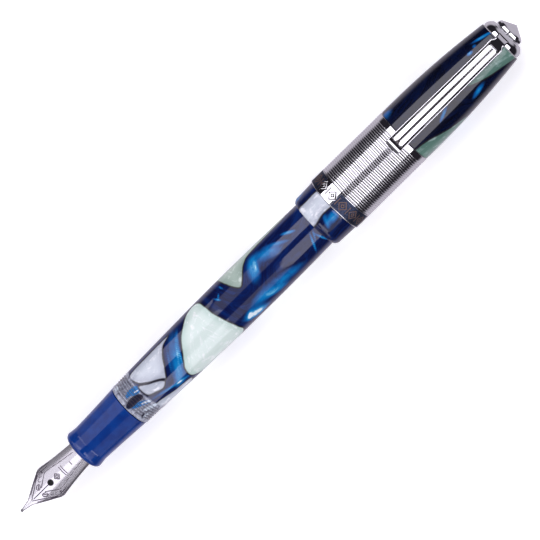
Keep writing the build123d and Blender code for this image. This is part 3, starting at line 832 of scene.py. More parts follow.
def engravingAndShadePaths():
    # the lines cut in the nib's face, and the lines of painted shade along its edge and slit, each a run of
    # points (x, y) on one side of the slit
    t = np.linspace(0, 2 * math.pi, 30)
    outerVee = np.array([(3.85, 0.06), (6.1, 1.46), (7.5, 2.5), (8.7, 3.2), (9.8, 3.5), (12.0, 3.3)])
    margin = np.array([(4.6, 1.16), (6.2, 2.06), (8.2, 3.2), (9.4, 3.82), (10.6, 3.95), (13.0, 3.66)])
    innerVee = np.array([
        (7.75, 0.62), (8.8, 1.3), (9.8, 2.07), (10.7, 2.66), (12.4, 2.5), (14.9, 2.05), (19.4, 1.4),
    ])
    leaf = np.stack([
        7.25 + 0.60 * np.cos(t) - 0.16 * np.sin(t), 1.16 + 0.34 * np.cos(t) + 0.42 * np.sin(t),
    ], -1)
    vein = np.array([(6.95, 0.86), (7.3, 1.12), (7.6, 1.5)])
    curl = np.stack([8.55 + 0.42 * np.cos(t[4:24]), 2.15 + 0.34 * np.sin(t[4:24])], -1)
    tendril = np.stack([9.3 + 0.36 * np.cos(t[10:27]), 2.78 + 0.26 * np.sin(t[10:27])], -1)
    fleck = np.stack([10.6 + 0.5 * np.cos(t[8:22]), 3.2 + 0.22 * np.sin(t[8:22])], -1)
    # a plain lozenge and bars behind the breather hole
    lozenge = np.array([(11.7, 0.0), (12.5, 0.85), (13.3, 0.0)])
    heart = np.array([(12.15, 0.0), (12.5, 0.35), (12.85, 0.0)])
    bars = [np.array([(x, 0.0), (x, half)]) for x, half in ((14.3, 1.3), (14.85, 1.3), (17.2, 0.45))]
    # painted shade along the outer edge, and a painted dark line of shade beside the slit
    edgeX = np.linspace(0.7, 9.6, 16)
    edge = np.stack([edgeX, nibHalfWidth(edgeX) - 0.05], -1)
    slit = np.array([(0.5, 0.0), (nib["breatherX"] - nib["breatherRadius"], 0.0)])
    return [outerVee, margin, innerVee, leaf, vein, curl, tendril, fleck, lozenge, heart, edge, slit, *bars]


def lineDistance(x, y, paths):
    # the least distance in mm from each point to any side of the open paths, mirrored in the slit
    nearest = np.full(x.shape, 1e9)
    for path in paths:
        for (ax, ay), (bx, by) in zip(path[:-1], path[1:]):
            dx, dy = bx - ax, by - ay
            t = np.clip(((x - ax) * dx + (np.abs(y) - ay) * dy) / (dx * dx + dy * dy + 1e-12), 0, 1)
            nearest = np.minimum(nearest, np.hypot(x - ax - t * dx, np.abs(y) - ay - t * dy))
    return nearest


def nibRows():
    # stations along the nib, closer together round the breather hole and the shoulders
    n = nib
    hole = n["breatherX"] - n["breatherRadius"] * np.cos(np.linspace(0, math.pi, 25))
    front = np.linspace(n["startX"], hole[0], 90)[:-1]
    middle = np.linspace(hole[-1], n["mouthX"], 80)[1:]
    tail = np.linspace(n["mouthX"], span("nib")[1], 12)[1:]
    return np.concatenate([front, hole, middle, tail])


def nibMesh():
    # each half is a grid: rows along x, and across it from the slit's edge to the outer edge and back
    # under the sheet. On the sheet, y = radius sin(a) and z = centre + radius cos(a), and a runs evenly
    # from the inner edge's angle to the outer edge's
    n = nib
    x = nibRows()
    radius, centre = nibRoll(x)
    fromHole = x - n["breatherX"]
    inHole = np.sqrt(np.clip(n["breatherRadius"] ** 2 - fromHole ** 2, 0, None))
    inner = np.where(fromHole < 0, np.maximum(inHole, n["slitHalf"]), inHole)
    outerAngle = np.arcsin(np.clip(nibHalfWidth(np.minimum(x, n["mouthX"])) / radius, -1, 1))
    tail = np.clip((x - n["mouthX"]) / 1.0, 0, 1)
    outerAngle = outerAngle + (math.radians(n["tailHalfAngle"]) - outerAngle) * tail
    innerAngle = np.arcsin(inner / radius)
    t = np.linspace(0, 1, n["across"])
    a = innerAngle[:, None] + (outerAngle - innerAngle)[:, None] * t[None, :]
    halves = []
    for side in (-1, 1):
        layers = []
        for depth in (0.0, n["thick"]):
            r = radius[:, None] - depth
            layers.append(np.stack([
                x[:, None] + 0 * a, side * r * np.sin(a), centre[:, None] + r * np.cos(a),
            ], -1))
        loop = np.concatenate([layers[0], layers[1][:, ::-1]], axis=1)
        ends = []
        for row in (0, -1):
            top, under = loop[row, : n["across"]], loop[row, n["across"]:][::-1]
            middle = (top + under) / 2
            ends.append(np.concatenate([middle, middle[::-1]])[None])
        halves.append(np.concatenate([ends[0], loop, ends[1]], axis=0))
    meshes = [gridMesh("half", h, joinColumns=True) for h in halves]
    work = bmesh.new()
    for m in meshes:
        work.from_mesh(m)
        bpy.data.meshes.remove(m)
    mesh = bpy.data.meshes.new("nibBlade")
    work.to_mesh(mesh)
    work.free()
    closed(mesh, dropInner=lambda f: all(abs(v.co.y) < 1e-8 for v in f.verts))
    px, _, _, y, _ = onPen(mesh)
    attribute(mesh, "engraving", np.minimum(lineDistance(px, y, engravingAndShadePaths()), 1.0))
    return mesh


def pelletMesh():
    # a ball drawn out a little along the pen and flattened on top: x, y and z are cosines of two angles
    front, back, r = span("nib_tipping")
    low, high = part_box("nib_tipping")
    centreZ = ((low.z + high.z) / 2 - axisZ) / mm
    lat = np.linspace(0, math.pi, 17)[:, None]
    lon = np.linspace(0, 2 * math.pi, 24, endpoint=False)[None, :]
    x = (front + back) / 2 - (back - front) / 2 * np.cos(lat) + 0 * lon
    ring = r * np.sin(lat) ** 0.9
    grid = np.stack([x, ring * np.sin(lon), centreZ + ring * np.cos(lon) * 0.96], -1)
    return closed(gridMesh("nibPellet", grid, joinColumns=True))


feed = {
    "gap": 0.04, "finFirst": 8.9, "finPitch": 0.62, "finGap": 0.24, "finCount": 18, "finDepth": 0.75,
    "channelHalf": 0.3, "channelDepth": 0.5,
}


def feedMesh():
    # a loop of points round the feed at each station: over the top it follows the nib's underside, and
    # below it is a half ellipse. Between fins the ellipse is drawn in by finDepth
    f = feed
    front, back, _ = span("feed")
    mouth = nib["mouthX"]
    edges = f["finFirst"] + np.arange(f["finCount"])[:, None] * f["finPitch"]
    steps = np.array([0, 0.015, f["finGap"] - 0.015, f["finGap"]])
    slots = (edges + steps).ravel()
    inSlot = np.tile([0.0, 1.0, 1.0, 0.0], f["finCount"])
    plain = np.concatenate([
        np.linspace(front, f["finFirst"] - 0.2, 14), [mouth - 0.8, mouth, mouth + 0.02, back],
    ])
    x = np.concatenate([slots, plain])
    cut = np.concatenate([inSlot, np.zeros(len(plain))])
    order = np.argsort(x)
    x, cut = x[order], cut[order]
    radius, centre = nibRoll(np.minimum(x, mouth))
    top = radius - nib["thick"] - f["gap"]
    half = np.interp(x, [front, 10.5, mouth, mouth + 0.01], [0.5, 2.5, 2.95, 3.1])
    half = np.minimum(half, top * 0.97)
    deep = np.interp(x, [front, 8.5, 19.0, mouth], [0.25, -1.45, -3.2, -3.2])
    edgeZ = centre + np.sqrt(np.clip(top ** 2 - half ** 2, 0, None))
    t = np.linspace(-1, 1, 25)[None, :]
    y = half[:, None] * t
    channel = f["channelDepth"] * (np.abs(y) < f["channelHalf"]) * (half[:, None] > 0.6)
    z = centre[:, None] + np.sqrt(np.clip(top[:, None] ** 2 - y ** 2, 0, None)) - channel
    u = np.linspace(0, math.pi, 27)[None, 1:-1]
    drawn = 1 - (f["finDepth"] * cut / half)[:, None]
    lowY = half[:, None] * np.cos(u) * drawn
    fall = (edgeZ - deep)[:, None] * (1 - (f["finDepth"] * cut / np.maximum(edgeZ - deep, 0.1))[:, None])
    lowZ = edgeZ[:, None] - fall * np.sin(u) ** 0.85
    return looped("inkFeed", x, (y, z), (lowY, lowZ))


piece(nibMesh(), "nib_unit", steel, ["nib"], sharp=40)
piece(pelletMesh(), "nib_unit", pelletAlloy, ["nib_tipping"])
piece(feedMesh(), "nib_unit", feedPlastic, ["feed"], sharp=30)
print("nib and feed made")


# converter
converter = {
    "mouthBore": 1.25, "mouthDepth": 6.5, "chamberRadius": 2.8, "chamberFront": 40.2, "neckRadius": 3.15,
    "sleeveBore": 2.35, "knobCavity": 1.9, "knobCavityEnd": 95.5, "knobFlutes": 24, "fluteDepth": 0.12,
    "nutBore": 1.3, "rodNeck": 0.8, "rodThreadPitch": 1.6, "rodThreadDepth": 0.16,
}


def converterTubeMesh():
    front, back, outer = span("converter_tube")
    sleeveFront = span("converter_sleeve")[0]
    bandBack = span("converter_mouth_band")[1]
    c = converter
    return turned("converterTube", rounded([
        (front, c["mouthBore"], 0.1), (front, outer - 0.35, 0.2), (bandBack, outer - 0.35),
        (bandBack, outer, 0.08), (sleeveFront, outer), (sleeveFront, c["neckRadius"]),
        (back, c["neckRadius"]), (back, c["chamberRadius"]),
        (c["chamberFront"] + 0.6, c["chamberRadius"], 0.3),
        (c["chamberFront"], 1.6), (front + c["mouthDepth"], c["mouthBore"]),
    ]), 72)


def converterSleeveMesh():
    front, back, outer = span("converter_sleeve")
    tubeBack = span("converter_tube")[1]
    c = converter
    return turned("converterSleeve", rounded([
        (front, c["neckRadius"]), (front, outer, 0.18), (front + 1.6, outer, 0.03),
        (front + 1.75, outer - 0.12, 0.03), (front + 2.0, outer - 0.12, 0.03),
        (front + 2.15, outer, 0.03), (back, outer, 0.18),
        (back, c["sleeveBore"]), (tubeBack, c["sleeveBore"]), (tubeBack, c["neckRadius"]),
    ]), 96)


def knobFlutes(x, angle, r):
    # shallow round flutes for the fingers along the outside, faded out at both ends
    front, back, outer = span("converter_knob")
    c = converter
    wave = (0.5 - 0.5 * np.cos(angle * c["knobFlutes"])) ** 2
    fade = between(x, front + 1.0, back - 1.6, 0.5)
    return np.where(r > outer - 0.3, c["fluteDepth"] * wave * fade, 0)


def knobMesh():
    front, back, outer = span("converter_knob")
    c = converter
    return turned("converterKnob", divided(rounded([
        (front, c["knobCavity"]), (front, outer, 0.25), (back, outer, 0.75), (back, 0),
        (c["knobCavityEnd"], 0), (c["knobCavityEnd"], c["knobCavity"]),
    ], 6), 0.5), 144, knobFlutes)


def rodThread(x, angle, r):
    # a steep thread along the rod
    c = converter
    front, back, outer = span("piston_rod")
    groove = helix(x, angle, c["rodThreadPitch"]) * between(x, front + 2.0, back - 0.6, 0.5)
    return np.where(r > outer - 0.05, c["rodThreadDepth"] * groove, 0)


def pistonRodMesh():
    front, back, outer = span("piston_rod")
    sealBack = span("piston_seal")[1]
    neck = converter["rodNeck"]
    return turned("pistonRod", divided(rounded([
        (front, 0), (front, neck, 0.1), (sealBack, neck), (sealBack, outer, 0.05),
        (back, outer, 0.35), (back, 0),
    ]), 0.16), 40, rodThread)


def pistonSealMesh():
    front, back, outer = span("piston_seal")
    rodFront = span("piston_rod")[0]
    waist = outer - 0.45
    return turned("pistonSeal", rounded([
        (front, 0), (front, waist, 0.2), (front + 0.25, outer, 0.1), (front + 0.7, outer, 0.15),
        (front + 1.2, waist, 0.15), (back - 1.2, waist, 0.15), (back - 0.7, outer, 0.15),
        (back, outer, 0.1),
        (back, 0.82), (rodFront - 0.02, 0.82), (rodFront - 0.02, 0),
    ]), 64)


def tubeMesh(name, node, bore, fillet):
    # a plain tube with eased edges, its size from its CAD node
    front, back, outer = span(node)
    return turned(name, rounded([
        (front, bore, fillet), (front, outer, fillet), (back, outer, fillet), (back, bore, fillet),
    ]), 72)


piece(converterTubeMesh(), "converter", tubePlastic, ["converter_tube"])
piece(tubeMesh("mouthBand", "converter_mouth_band", 3.05, 0.06), "converter", satinPlate,
      ["converter_mouth_band"])
piece(converterSleeveMesh(), "converter", satinPlate, ["converter_sleeve"])
piece(knobMesh(), "converter_knob", glossBlack, ["converter_knob"], sharp=50)
piece(tubeMesh("driveNut", "converter_drive_nut", converter["nutBore"], 0.1), "converter_knob",
      glossBlack, ["converter_drive_nut"])
piece(pistonRodMesh(), "piston", glossBlack, ["piston_rod"], sharp=50)
piece(pistonSealMesh(), "piston", sealRubber, ["piston_seal"])
print("converter made")


# cap: lip, core, band, upper resin and what is inside
cap = {
    "lipBore": 6.015, "coreRadius": 6.6, "coreBore": 6.05, "lipFrontRadius": 6.25,
    "upperFrontRadius": 7.25, "upperMidX": 140.5, "upperMidRadius": 6.85, "upperBackRadius": 5.505,
    "upperBore": 5.12, "upperBoreEnd": 150.65, "flange": 1.0, "innerBore": 4.5, "innerRadius": 5.1,
    "insertMinor": 5.58, "insertMajor": 5.82, "screwRadius": 1.1, "screwHead": 2.2, "screwHeadBack": 152.0,
    "sides": 168,
}
band = {
    "ribPitch": 0.55, "ribDepth": 0.11, "plainEdge": 1.35, "rearRadius": 7.31,
    "motifs": 14, "cutDepth": 0.04, "lineHalf": 0.1, "panels": 3, "panelFrom": -4, "panelTo": 76,
}


def capLipMesh():
    front, back, outer = span("cap_lip")
    c = cap
    coreFront = span("cap_core_tube")[0]
    mesh = turned("capLip", divided(rounded([
        (front, c["lipBore"], 0.1), (front, c["lipFrontRadius"]),
        arcThrough((front + 0.04, c["lipFrontRadius"] + 0.2), (front + 0.45, 6.76),
                   (front + 1.5, 6.95), 12),
        (back - 0.2, outer), (back, outer - 0.08), (back, c["coreRadius"]), (coreFront, c["coreRadius"]),
        (coreFront, c["lipBore"]),
    ]), 0.3), c["sides"])
    marbleAttributes(mesh, marble["capStones"], marble["capClouds"], 0.25)
    return mesh


def capUpperMesh():
    front, back, _ = span("cap_upper")
    c = cap
    seat = span("inner_cap")[0] + c["flange"]
    mesh = turned("capUpper", divided(rounded([
        (front, c["coreRadius"]), (front, c["upperFrontRadius"] - 0.02, 0.08),
        arcThrough((front + 0.3, c["upperFrontRadius"] - 0.01), (c["upperMidX"], c["upperMidRadius"]),
                   (back - 0.15, c["upperBackRadius"]), 40),
        (back, c["upperBackRadius"] - 0.12), (back, c["screwRadius"]),
        (c["screwHeadBack"], c["screwRadius"]),
        (c["screwHeadBack"], c["screwHead"]), (c["upperBoreEnd"], c["screwHead"]),
        (c["upperBoreEnd"], c["upperBore"]), (seat, c["upperBore"]), (seat, c["coreRadius"]),
    ]), 0.3), c["sides"])
    marbleAttributes(mesh, marble["capStones"], marble["capClouds"], 1.0)
    return mesh


def motifDistance(x, angle):
    # the band's ornament: lozenges in a chain round the ring, with an upright bar between each two.
    # The lozenge's outline is |across| / a + |along| / b = 1 about its centre
    front, back, outer = span("cap_plain_ring")
    middle = (front + back) / 2
    pitch = 2 * math.pi * outer / band["motifs"]
    around = (angle * outer) % pitch - pitch / 2
    along = x - middle
    lozenge = np.abs(np.abs(around) / 1.15 + np.abs(along) / 1.15 - 1) * 0.8
    heart = np.abs(np.abs(around) / 0.42 + np.abs(along) / 0.42 - 1) * 0.3
    bar = np.maximum(np.abs(np.abs(around) - pitch / 2), np.abs(along) - 0.95)
    return np.minimum(np.minimum(lozenge, heart), np.maximum(bar, 0))


def plainRingMesh():
    front, back, outer = span("cap_plain_ring")
    outline = divided(rounded([
        (front, cap["coreRadius"]), (front, outer, 0.14), (back, outer, 0.1), (back, cap["coreRadius"]),
    ]), 0.07)

    def ornament(x, angle, r):
        past = (motifDistance(x, angle) - band["lineHalf"] * 0.6) / (band["lineHalf"] * 0.8)
        near = 1 - np.clip(past, 0, 1)
        return np.where(r > outer - 0.02, band["cutDepth"] * near, 0)

    mesh = turned("capPlainRing", outline, 560, ornament)
    x, angle, r = onPen(mesh)[:3]
    # satin panels, evenly spaced round the ring
    turn = np.degrees(angle) - band["panelFrom"]
    around = turn % (360 / band["panels"])
    inPanel = np.minimum(around, band["panelTo"] - band["panelFrom"] - around) * math.pi / 180 * outer
    inPanel = np.minimum(inPanel, np.minimum(x - front - 0.22, back - 0.18 - x))
    attribute(mesh, "panel", np.where(r > outer - 0.2, np.clip(0.5 + inPanel / 0.1, 0, 1), 0))
    near = 1 - np.clip((motifDistance(x, angle) - band["lineHalf"] * 0.5) / band["lineHalf"], 0, 1)
    attribute(mesh, "cut", np.where(r > outer - 0.2, near, 0))
    return mesh


def ribbedSleeveMesh():
    # ribs: between two sharp grooves the radius follows a parabola
    front, back, outer = span("cap_ribbed_sleeve")
    b = band
    ribsEnd = back - b["plainEdge"]
    x = np.linspace(front, ribsEnd, int((ribsEnd - front) / b["ribPitch"]) * 12 + 1)
    taper = outer + (b["rearRadius"] - outer) * (x - front) / (back - front)
    across = ((x - front) / b["ribPitch"]) % 1 - 0.5
    wave = 1 - (2 * across) ** 2
    ribs = np.stack([x, taper - b["ribDepth"] * (1 - wave)], -1)
    ribs[0, 1] += b["ribDepth"] * 0.5
    mesh = turned("capRibbedSleeve", rounded([
        (front, cap["coreRadius"]), ribs, (ribsEnd + 0.06, taper[-1], 0.03), (back, b["rearRadius"], 0.12),
        (back, cap["coreRadius"]),
    ]), 168)
    x, _, r = onPen(mesh)[:3]
    depth = (outer + (b["rearRadius"] - outer) * (x - front) / (back - front) - r) / b["ribDepth"]
    # painted shade in the grooves between the ribs, darker where they are deeper
    attribute(mesh, "cut", np.where(x < ribsEnd, np.clip((depth - 0.45) / 0.5, 0, 1) * 0.62, 0))
    return mesh


def innerCapMesh():
    front, back, _ = span("inner_cap")
    c = cap
    return turned("innerCap", rounded([
        (front, c["innerBore"], 0.3), (front, c["coreRadius"] - 0.02, 0.1),
        (front + c["flange"], c["coreRadius"] - 0.02), (front + c["flange"], c["innerRadius"]),
        (back, c["innerRadius"], 0.3), (back, 0), (back - 1.0, 0),
        (back - 1.0, c["innerBore"], 0.8),
    ]), 96)


def insertThread(x, angle, r):
    # the mate of the barrel's thread: ridges that stand inwards from the major radius
    c = cap
    front, back, _ = span("cap_thread_insert")
    wave = helix(x, angle, barrel["threadPitch"]) * between(x, front + 0.2, back - 0.2, 0.4)
    ridge = (c["insertMajor"] - c["insertMinor"]) * wave
    return np.where(r < c["insertMajor"] + 0.05, ridge, 0)


def threadInsertMesh():
    front, back, outer = span("cap_thread_insert")
    return turned("capThreadInsert", divided(rounded([
        (front, cap["insertMajor"]), (front, outer), (back, outer), (back, cap["insertMajor"]),
    ]), 0.06), 96, insertThread)


def screwMesh():
    front, back, head = span("finial_screw")
    c = cap
    return turned("finialScrew", rounded([
        (front, 0), (front, head, 0.2), (c["screwHeadBack"], head, 0.05),
        (c["screwHeadBack"], c["screwRadius"]), (back, c["screwRadius"], 0.15), (back, 0),
    ]), 48)


piece(capLipMesh(), "cap", resin, ["cap_lip"], sharp=50)
piece(capUpperMesh(), "cap", resin, ["cap_upper"], sharp=50)
piece(plainRingMesh(), "cap", bandPlate, ["cap_plain_ring"], sharp=50)
piece(ribbedSleeveMesh(), "cap", groovedPlate, ["cap_ribbed_sleeve"], sharp=60)
piece(tubeMesh("capCoreTube", "cap_core_tube", cap["coreBore"], 0.08), "cap", linerPlastic,
      ["cap_core_tube"])
piece(threadInsertMesh(), "cap", linerPlastic, ["cap_thread_insert"], sharp=50)
piece(innerCapMesh(), "cap", linerPlastic, ["inner_cap"])
piece(screwMesh(), "cap", satinPlate, ["finial_screw"])
print("cap made")


# top ring, jewel and clip
topRing = {"radius": 5.25, "backRadius": 3.8, "slotHalf": 1.48, "slotFloor": 4.25}
jewel = {"sides": 10, "radius": 3.72, "shoulderX": 158.25, "shoulderRadius": 3.52, "bevel": 0.26}
clip = {
    "crestX": 124.6, "crestZ": 9.35, "soleX": 125.2, "soleZ": 8.5, "neckX": 154.6, "neckZ": 6.35,
    "hollowX": 153.9, "hollowZ": 5.8, "noseZ": 8.62,
    "freeX": 121.4, "widthFree": 4.1, "widthRoot": 3.6, "neckHalf": 1.3, "footX": 122.9, "footZ": 7.53,
    "panelFrom": 123.15, "panelTo": 153.2, "panelInset": 0.52, "panelRise": 0.2, "panelCorner": 0.55,
    "roofSlope": 0.2, "grooveHalf": 0.2, "grooveDepth": 0.2, "edgeRound": 0.24, "forkLength": 1.3,
}


def topRingMesh():
    front, back, _ = span("cap_top_ring")
    t = topRing
    mesh = turned("capTopRing", rounded([
        (front, cap["screwRadius"]), (front, t["radius"], 0.12),
        arcThrough((front + 0.25, t["radius"] - 0.01), (155.95, 5.1), (156.55, 4.68), 10),
        arcThrough((156.65, 4.58), (156.95, 4.25), (back, t["backRadius"]), 8), (back, cap["screwRadius"]),
    ]), 128)
    # the clip's slot is cut by a box
    ring = bpy.data.objects.new("ring", mesh)
    cutterMesh = bpy.data.meshes.new("cutter")
    work = bmesh.new()
    bmesh.ops.create_cube(work, size=1)
    size = Vector((1.6, 2 * t["slotHalf"], 4.0)) * mm
    middle = place(156.3 - 0.8, 0, t["slotFloor"] + 2)
    work.transform(Matrix.Translation(middle) @ Matrix.Diagonal((*size, 1)))
    work.to_mesh(cutterMesh)
    work.free()
    cutter = bpy.data.objects.new("cutter", cutterMesh)
    for thing in (ring, cutter):
        bpy.context.scene.collection.objects.link(thing)
    cut = ring.modifiers.new("slot", "BOOLEAN")
    cut.operation, cut.solver, cut.object = "DIFFERENCE", "EXACT", cutter
    bpy.context.view_layer.update()
    made = bpy.data.meshes.new_from_object(ring.evaluated_get(bpy.context.evaluated_depsgraph_get()))
    made.name = "capTopRing"
    for thing in (ring, cutter):
        bpy.data.objects.remove(thing)
    return closed(made)


def jewelMesh():
    # ten flat sides with a corner on top, and a low ten-sided point
    front, back, _ = span("finial_jewel")
    j = jewel
    screwEnd = span("finial_screw")[1] + 0.05
    outline = np.array([
        (front, cap["screwRadius"]), (front, j["radius"]), (j["shoulderX"], j["shoulderRadius"]), (back, 0),
        (screwEnd, 0), (screwEnd, cap["screwRadius"]),
    ])
    return turned("finialJewel", outline, j["sides"])


def smoothStep(t):
    t = np.clip(t, 0, 1)
    return t * t * (3 - 2 * t)


def clipSide(x):
    # height of the clip's top and underside along the pen: two long arcs, a rounded nose at the free end,
    # a foot below it, and a neck that drops into the top ring at the root
    c = clip
    topArc = arcThrough((c["crestX"], c["crestZ"]), (141.0, 8.42), (c["neckX"], c["neckZ"]), 60)
    top = np.interp(x, topArc[:, 0], topArc[:, 1])
    top = np.where(x < c["crestX"], c["crestZ"] - 0.02 * (c["crestX"] - x) ** 2, top)
    neckArc = arcThrough((c["neckX"], c["neckZ"]), (155.6, 5.95), (156.1, 5.25), 20)
    top = np.where(x > c["neckX"], np.interp(x, neckArc[:, 0], neckArc[:, 1]), top)
    underArc = arcThrough((c["soleX"], c["soleZ"]), (141.0, 7.62), (c["hollowX"], c["hollowZ"]), 60)
    under = np.interp(x, underArc[:, 0], underArc[:, 1])
    foot = smoothStep((x - c["footX"]) / (c["soleX"] - c["footX"]))
    under = np.where(x < c["soleX"], c["footZ"] + (c["soleZ"] - c["footZ"]) * foot, under)
    root = np.interp(x, [c["hollowX"], 155.05, 155.2, 156.1], [c["hollowZ"], 5.7, 4.47, 4.45])
    under = np.where(x > c["hollowX"], root, under)
    nose = np.clip((x - c["freeX"]) / (c["footX"] - c["freeX"]), 0, 1)
    swell = np.sqrt(1 - (1 - nose) ** 2)
    middle = c["noseZ"] + (c["footZ"] - c["noseZ"] + (9.3 - c["footZ"]) / 2) * nose
    top = np.where(x < c["footX"], middle + (top - middle) * swell, top)
    under = np.where(x < c["footX"], middle + (under - middle) * swell, under)
    return top, under


def clipHalfWidth(x):
    c = clip
    half = np.interp(x, [c["freeX"], 154.0], [c["widthFree"] / 2, c["widthRoot"] / 2])
    nose = np.clip((x - c["freeX"]) / 0.7, 0, 1)
    half = half - 0.45 * (1 - np.sqrt(1 - (1 - nose) ** 2))
    return half + (c["neckHalf"] - half) * smoothStep((x - 153.7) / 1.1)


def clipMesh():
    # a loop round the clip at each station: across the top, where the height is the side's curve plus a
    # raised panel with a low roof and a groove along its ridge, and back along the underside
    c = clip
    x = np.unique(np.concatenate([
        c["freeX"] + 1.5 * np.linspace(0, 1, 18) ** 2, np.linspace(c["footX"], c["crestX"], 26),
        np.linspace(c["crestX"], 152.2, 90), np.linspace(152.2, 154.2, 30), np.linspace(154.2, 156.1, 26),
    ]))
    top, under = clipSide(x)
    half = clipHalfWidth(x)
    # columns crowd at the panel's edge, the groove and the outer edge
    t = np.concatenate([[0, 0.03, 0.06, 0.09, 0.14], np.linspace(0.2, 0.62, 6), np.linspace(0.66, 0.84, 9),
                        np.linspace(0.87, 1.0, 9)])
    t = np.concatenate([-t[::-1], t[1:]])[None, :]
    y = half[:, None] * t
    reachY = half[:, None] - np.abs(y)
    reachX = np.minimum(x - c["panelFrom"], c["panelTo"] - x)[:, None] + 0 * y
    # distance inside a rounded rectangle: plain beside its sides, and round its corners
    k = c["panelCorner"]
    dx, dy = reachX - k, reachY - c["panelInset"] - k
    inside = np.where((dx < 0) & (dy < 0), k - np.hypot(dx, dy), np.minimum(dx, dy) + k)
    panel = np.clip(inside / 0.2, 0, 1)
    roof = c["roofSlope"] * (half[:, None] - c["panelInset"] - np.abs(y)) * panel
    groove = c["grooveDepth"] * np.clip(inside / 0.5, 0, 1)
    groove = groove * np.clip(1 - np.abs(y) / c["grooveHalf"], 0, 1)
    fall = np.clip(c["edgeRound"] - reachY, 0, None)
    easing = c["edgeRound"] - np.sqrt(np.clip(c["edgeRound"] ** 2 - fall ** 2, 0, None))
    thick = (top - under)[:, None]
    ridge = c["roofSlope"] * (half[:, None] - c["panelInset"])
    z = top[:, None] - np.minimum(easing, thick * 0.5)
    z = z + c["panelRise"] * (panel - 1) + roof - ridge - groove
    z = np.maximum(z, under[:, None] + 0.5 * np.minimum(thick, 0.2))
    lowT = np.array([1.0, 0.96, 0.9, 0.5, 0, -0.5, -0.9, -0.96, -1.0])[None, :]
    lowY = half[:, None] * lowT
    lowRound = np.array([0.12, 0.03, 0, 0, 0, 0, 0, 0.03, 0.12])[None, :] * np.minimum(thick, 1)
    lowZ = under[:, None] + lowRound
    mesh = looped("pocketClip", x, (y, z), (lowY, lowZ))
    # mark painted shade in the ridge's groove, which opens into a fork at the free end, and at the step
    # round the panel
    x, _, _, y, z = onPen(mesh)
    half = clipHalfWidth(x) - c["panelInset"]
    spread = 0.18 + 0.5 * np.clip(1 - (x - c["panelFrom"]) / c["forkLength"], 0, 1)
    onPanel = (x > c["panelFrom"]) & (x < c["panelTo"])
    inGroove = np.clip((spread - np.abs(y)) / 0.06, 0, 1) * (onPanel & (x < c["panelTo"] - 0.4))
    atStep = np.clip(1 - np.abs(np.abs(y) - half) / 0.1, 0, 1) * onPanel
    atEnd = np.clip(1 - np.abs(x - c["panelFrom"] - 0.05) / 0.16, 0, 1) * (np.abs(y) < half)
    upper = z > clipSide(x)[1] + 0.2
    attribute(mesh, "cut", np.where(upper, np.maximum(np.maximum(inGroove, atStep * 0.8), atEnd), 0))
    return mesh


piece(topRingMesh(), "cap", plate, ["cap_top_ring"])
point = piece(jewelMesh(), "cap", plate, ["finial_jewel"], sharp=12)
soften = point.modifiers.new("easedEdges", "BEVEL")
soften.width, soften.segments, soften.limit_method = jewel["bevel"] * mm, 1, "ANGLE"
piece(clipMesh(), "clip", groovedPlate, ["clip"], sharp=24)
print("clip and finial made")


# stage: floor, room, soft lights along the pen, and the camera
stage = {
    "floorSize": 6.0, "floorColour": (0.94, 0.945, 0.95), "floorGlow": 0.42, "wall": (0.86, 0.87, 0.89),
    "dark": (0.018, 0.016, 0.022), "sides": (0.52, 0.49, 0.56), "lightColour": (0.975, 0.945, 1.03),
    "below": (0.56, 0.52, 0.60), "lightDistance": 0.48, "cameraDistance": 0.62, "cameraTilt": 9.2,
    "penAngle": 44.45, "lens": 181.5, "aimRight": 0.00132, "aimUp": 0.00068,
}
lights = [
    # name, from and to in degrees from overhead towards +Y, from and to in m along X, brightness.
    # Each part of the pen mirrors its own stretch of X, so it has lights of its own
    ("capKey", 13, 60, -0.057, 0.36, 2.7),
    ("capFill", -60, -11, -0.057, 0.28, 2.6),
    ("barrelKey", 10, 60, -0.118, -0.057, 0.85),
    ("barrelFill", -66, -28, -0.118, -0.057, 0.85),
    ("gripKey", 10, 78, -0.19, -0.118, 2.0),
    ("gripFill", -80, -30, -0.19, -0.118, 2.6),
    ("nibKey", 7, 66, -0.52, -0.175, 0.95),
    ("nibWash", 66, 112, -0.40, -0.175, 0.30),
    ("nibFill", -100, -36, -0.40, -0.175, 0.40),
    ("nibOverhead", -36, 10, -0.46, -0.235, 1.7),
]


def floorPlane():
    half = stage["floorSize"] / 2
    mesh = bpy.data.meshes.new("floor")
    corners = [(-half, -half, 0), (half, -half, 0), (half, half, 0), (-half, half, 0)]
    mesh.from_pydata(corners, [], [(0, 1, 2, 3)])
    material, shader, flow = newMaterial("floorPaper")
    x, y, z = coordinates(flow)
    paper = noise(vector(x, y, z), 0.02, 2.0)
    colour = stage["floorColour"]
    base = paper.rise(0.2, 0.8).mix(colour, tuple(c * 0.985 for c in colour))
    setShader(
        shader, flow, Base_Color=base, Roughness=0.7, Specular_IOR_Level=0.2,
        Emission_Color=colour, Emission_Strength=stage["floorGlow"],
    )
    mesh.materials.append(material)
    thing = bpy.data.objects.new("floor", mesh)
    thing.visible_glossy = False   # polished metal shows the room below instead
    bpy.context.scene.collection.objects.link(thing)


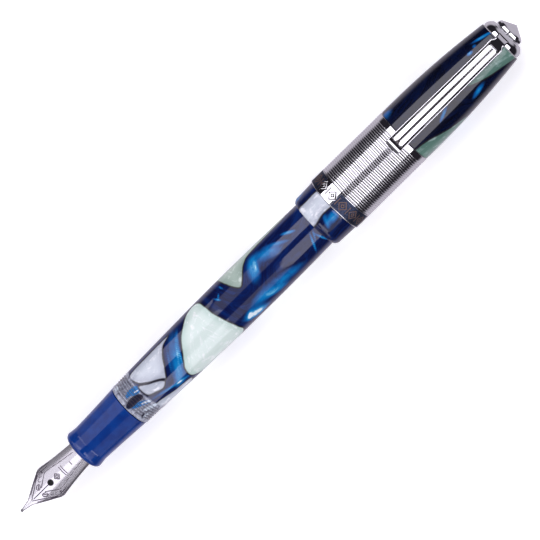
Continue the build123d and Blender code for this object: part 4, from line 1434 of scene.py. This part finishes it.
def surround():
    # a dark room, pale below, which polished metal shows as a light edge, and dimly lit at both ends
    # of the pen, which the walls of the ribs show as thin lines
    world = bpy.data.worlds.new("studio")
    bpy.context.scene.world = world
    world.use_nodes = True
    flow = Flow(world.node_tree)
    direction = flow.node("ShaderNodeTexCoord", out=0)
    parts = direction.node("ShaderNodeSeparateXYZ", None, {0: direction}, out=2)
    down = parts * -1
    endways = Flow(flow.tree, parts.socket.node.outputs[0]).size()
    colour = endways.rise(0.74, 0.9).mix(stage["dark"], stage["sides"])
    colour = down.rise(0.30, 0.62).mix(colour, stage["below"])
    # the eye itself sees a pale wall past the floor's edge
    seen = flow.node("ShaderNodeLightPath", out=0)
    colour = seen.mix(colour, stage["wall"])
    world.node_tree.links.new(colour.socket, world.node_tree.nodes["Background"].inputs["Color"])


def softbox(name, fromAngle, toAngle, fromX, toX, brightness):
    # a flat light square to the line from the pen at its middle angle, wide enough to fill its angles.
    # Power in W is brightness times pi times the area
    distance = stage["lightDistance"]
    a = math.radians((fromAngle + toAngle) / 2)
    lamp = bpy.data.lights.new(name, "AREA")
    lamp.shape = "RECTANGLE"
    lamp.size = toX - fromX
    lamp.size_y = 2 * distance * math.tan(math.radians(abs(toAngle - fromAngle) / 2))
    lamp.color = stage["lightColour"]
    lamp.energy = brightness * math.pi * lamp.size * lamp.size_y
    thing = bpy.data.objects.new(name, lamp)
    away = Vector((0, math.sin(a), math.cos(a)))
    across = away.cross(Vector((1, 0, 0)))
    turn = Matrix((Vector((1, 0, 0)), across, away)).transposed().to_4x4()
    middle = Vector(((fromX + toX) / 2, 0, axisZ))
    thing.matrix_world = Matrix.Translation(middle + away * distance) @ turn
    thing.visible_camera = False
    bpy.context.scene.collection.objects.link(thing)


def camera():
    # over the pen, leaning towards the finial, and rolled so that the pen rises to the right
    s = stage
    tilt, roll = math.radians(s["cameraTilt"]), math.radians(s["penAngle"])
    middle = Vector(((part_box("nib_tipping")[0].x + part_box("finial_jewel")[1].x) / 2, 0, axisZ))
    back = Vector((math.sin(tilt), 0, math.cos(tilt)))
    along = Vector((math.cos(tilt), 0, -math.sin(tilt)))
    over = back.cross(along)
    right = along * math.cos(roll) - over * math.sin(roll)
    up = along * math.sin(roll) + over * math.cos(roll)
    eye = bpy.data.cameras.new("camera")
    eye.lens, eye.sensor_width, eye.clip_end = s["lens"], 36.0, 20.0
    thing = bpy.data.objects.new("camera", eye)
    spot = middle + back * s["cameraDistance"] + right * s["aimRight"] + up * s["aimUp"]
    thing.matrix_world = Matrix.Translation(spot) @ Matrix((right, up, back)).transposed().to_4x4()
    bpy.context.scene.collection.objects.link(thing)
    bpy.context.scene.camera = thing


floorPlane()
surround()
for light in lights:
    softbox(*light)
camera()
bpy.context.scene.view_settings.view_transform = "Standard"
print("stage made")
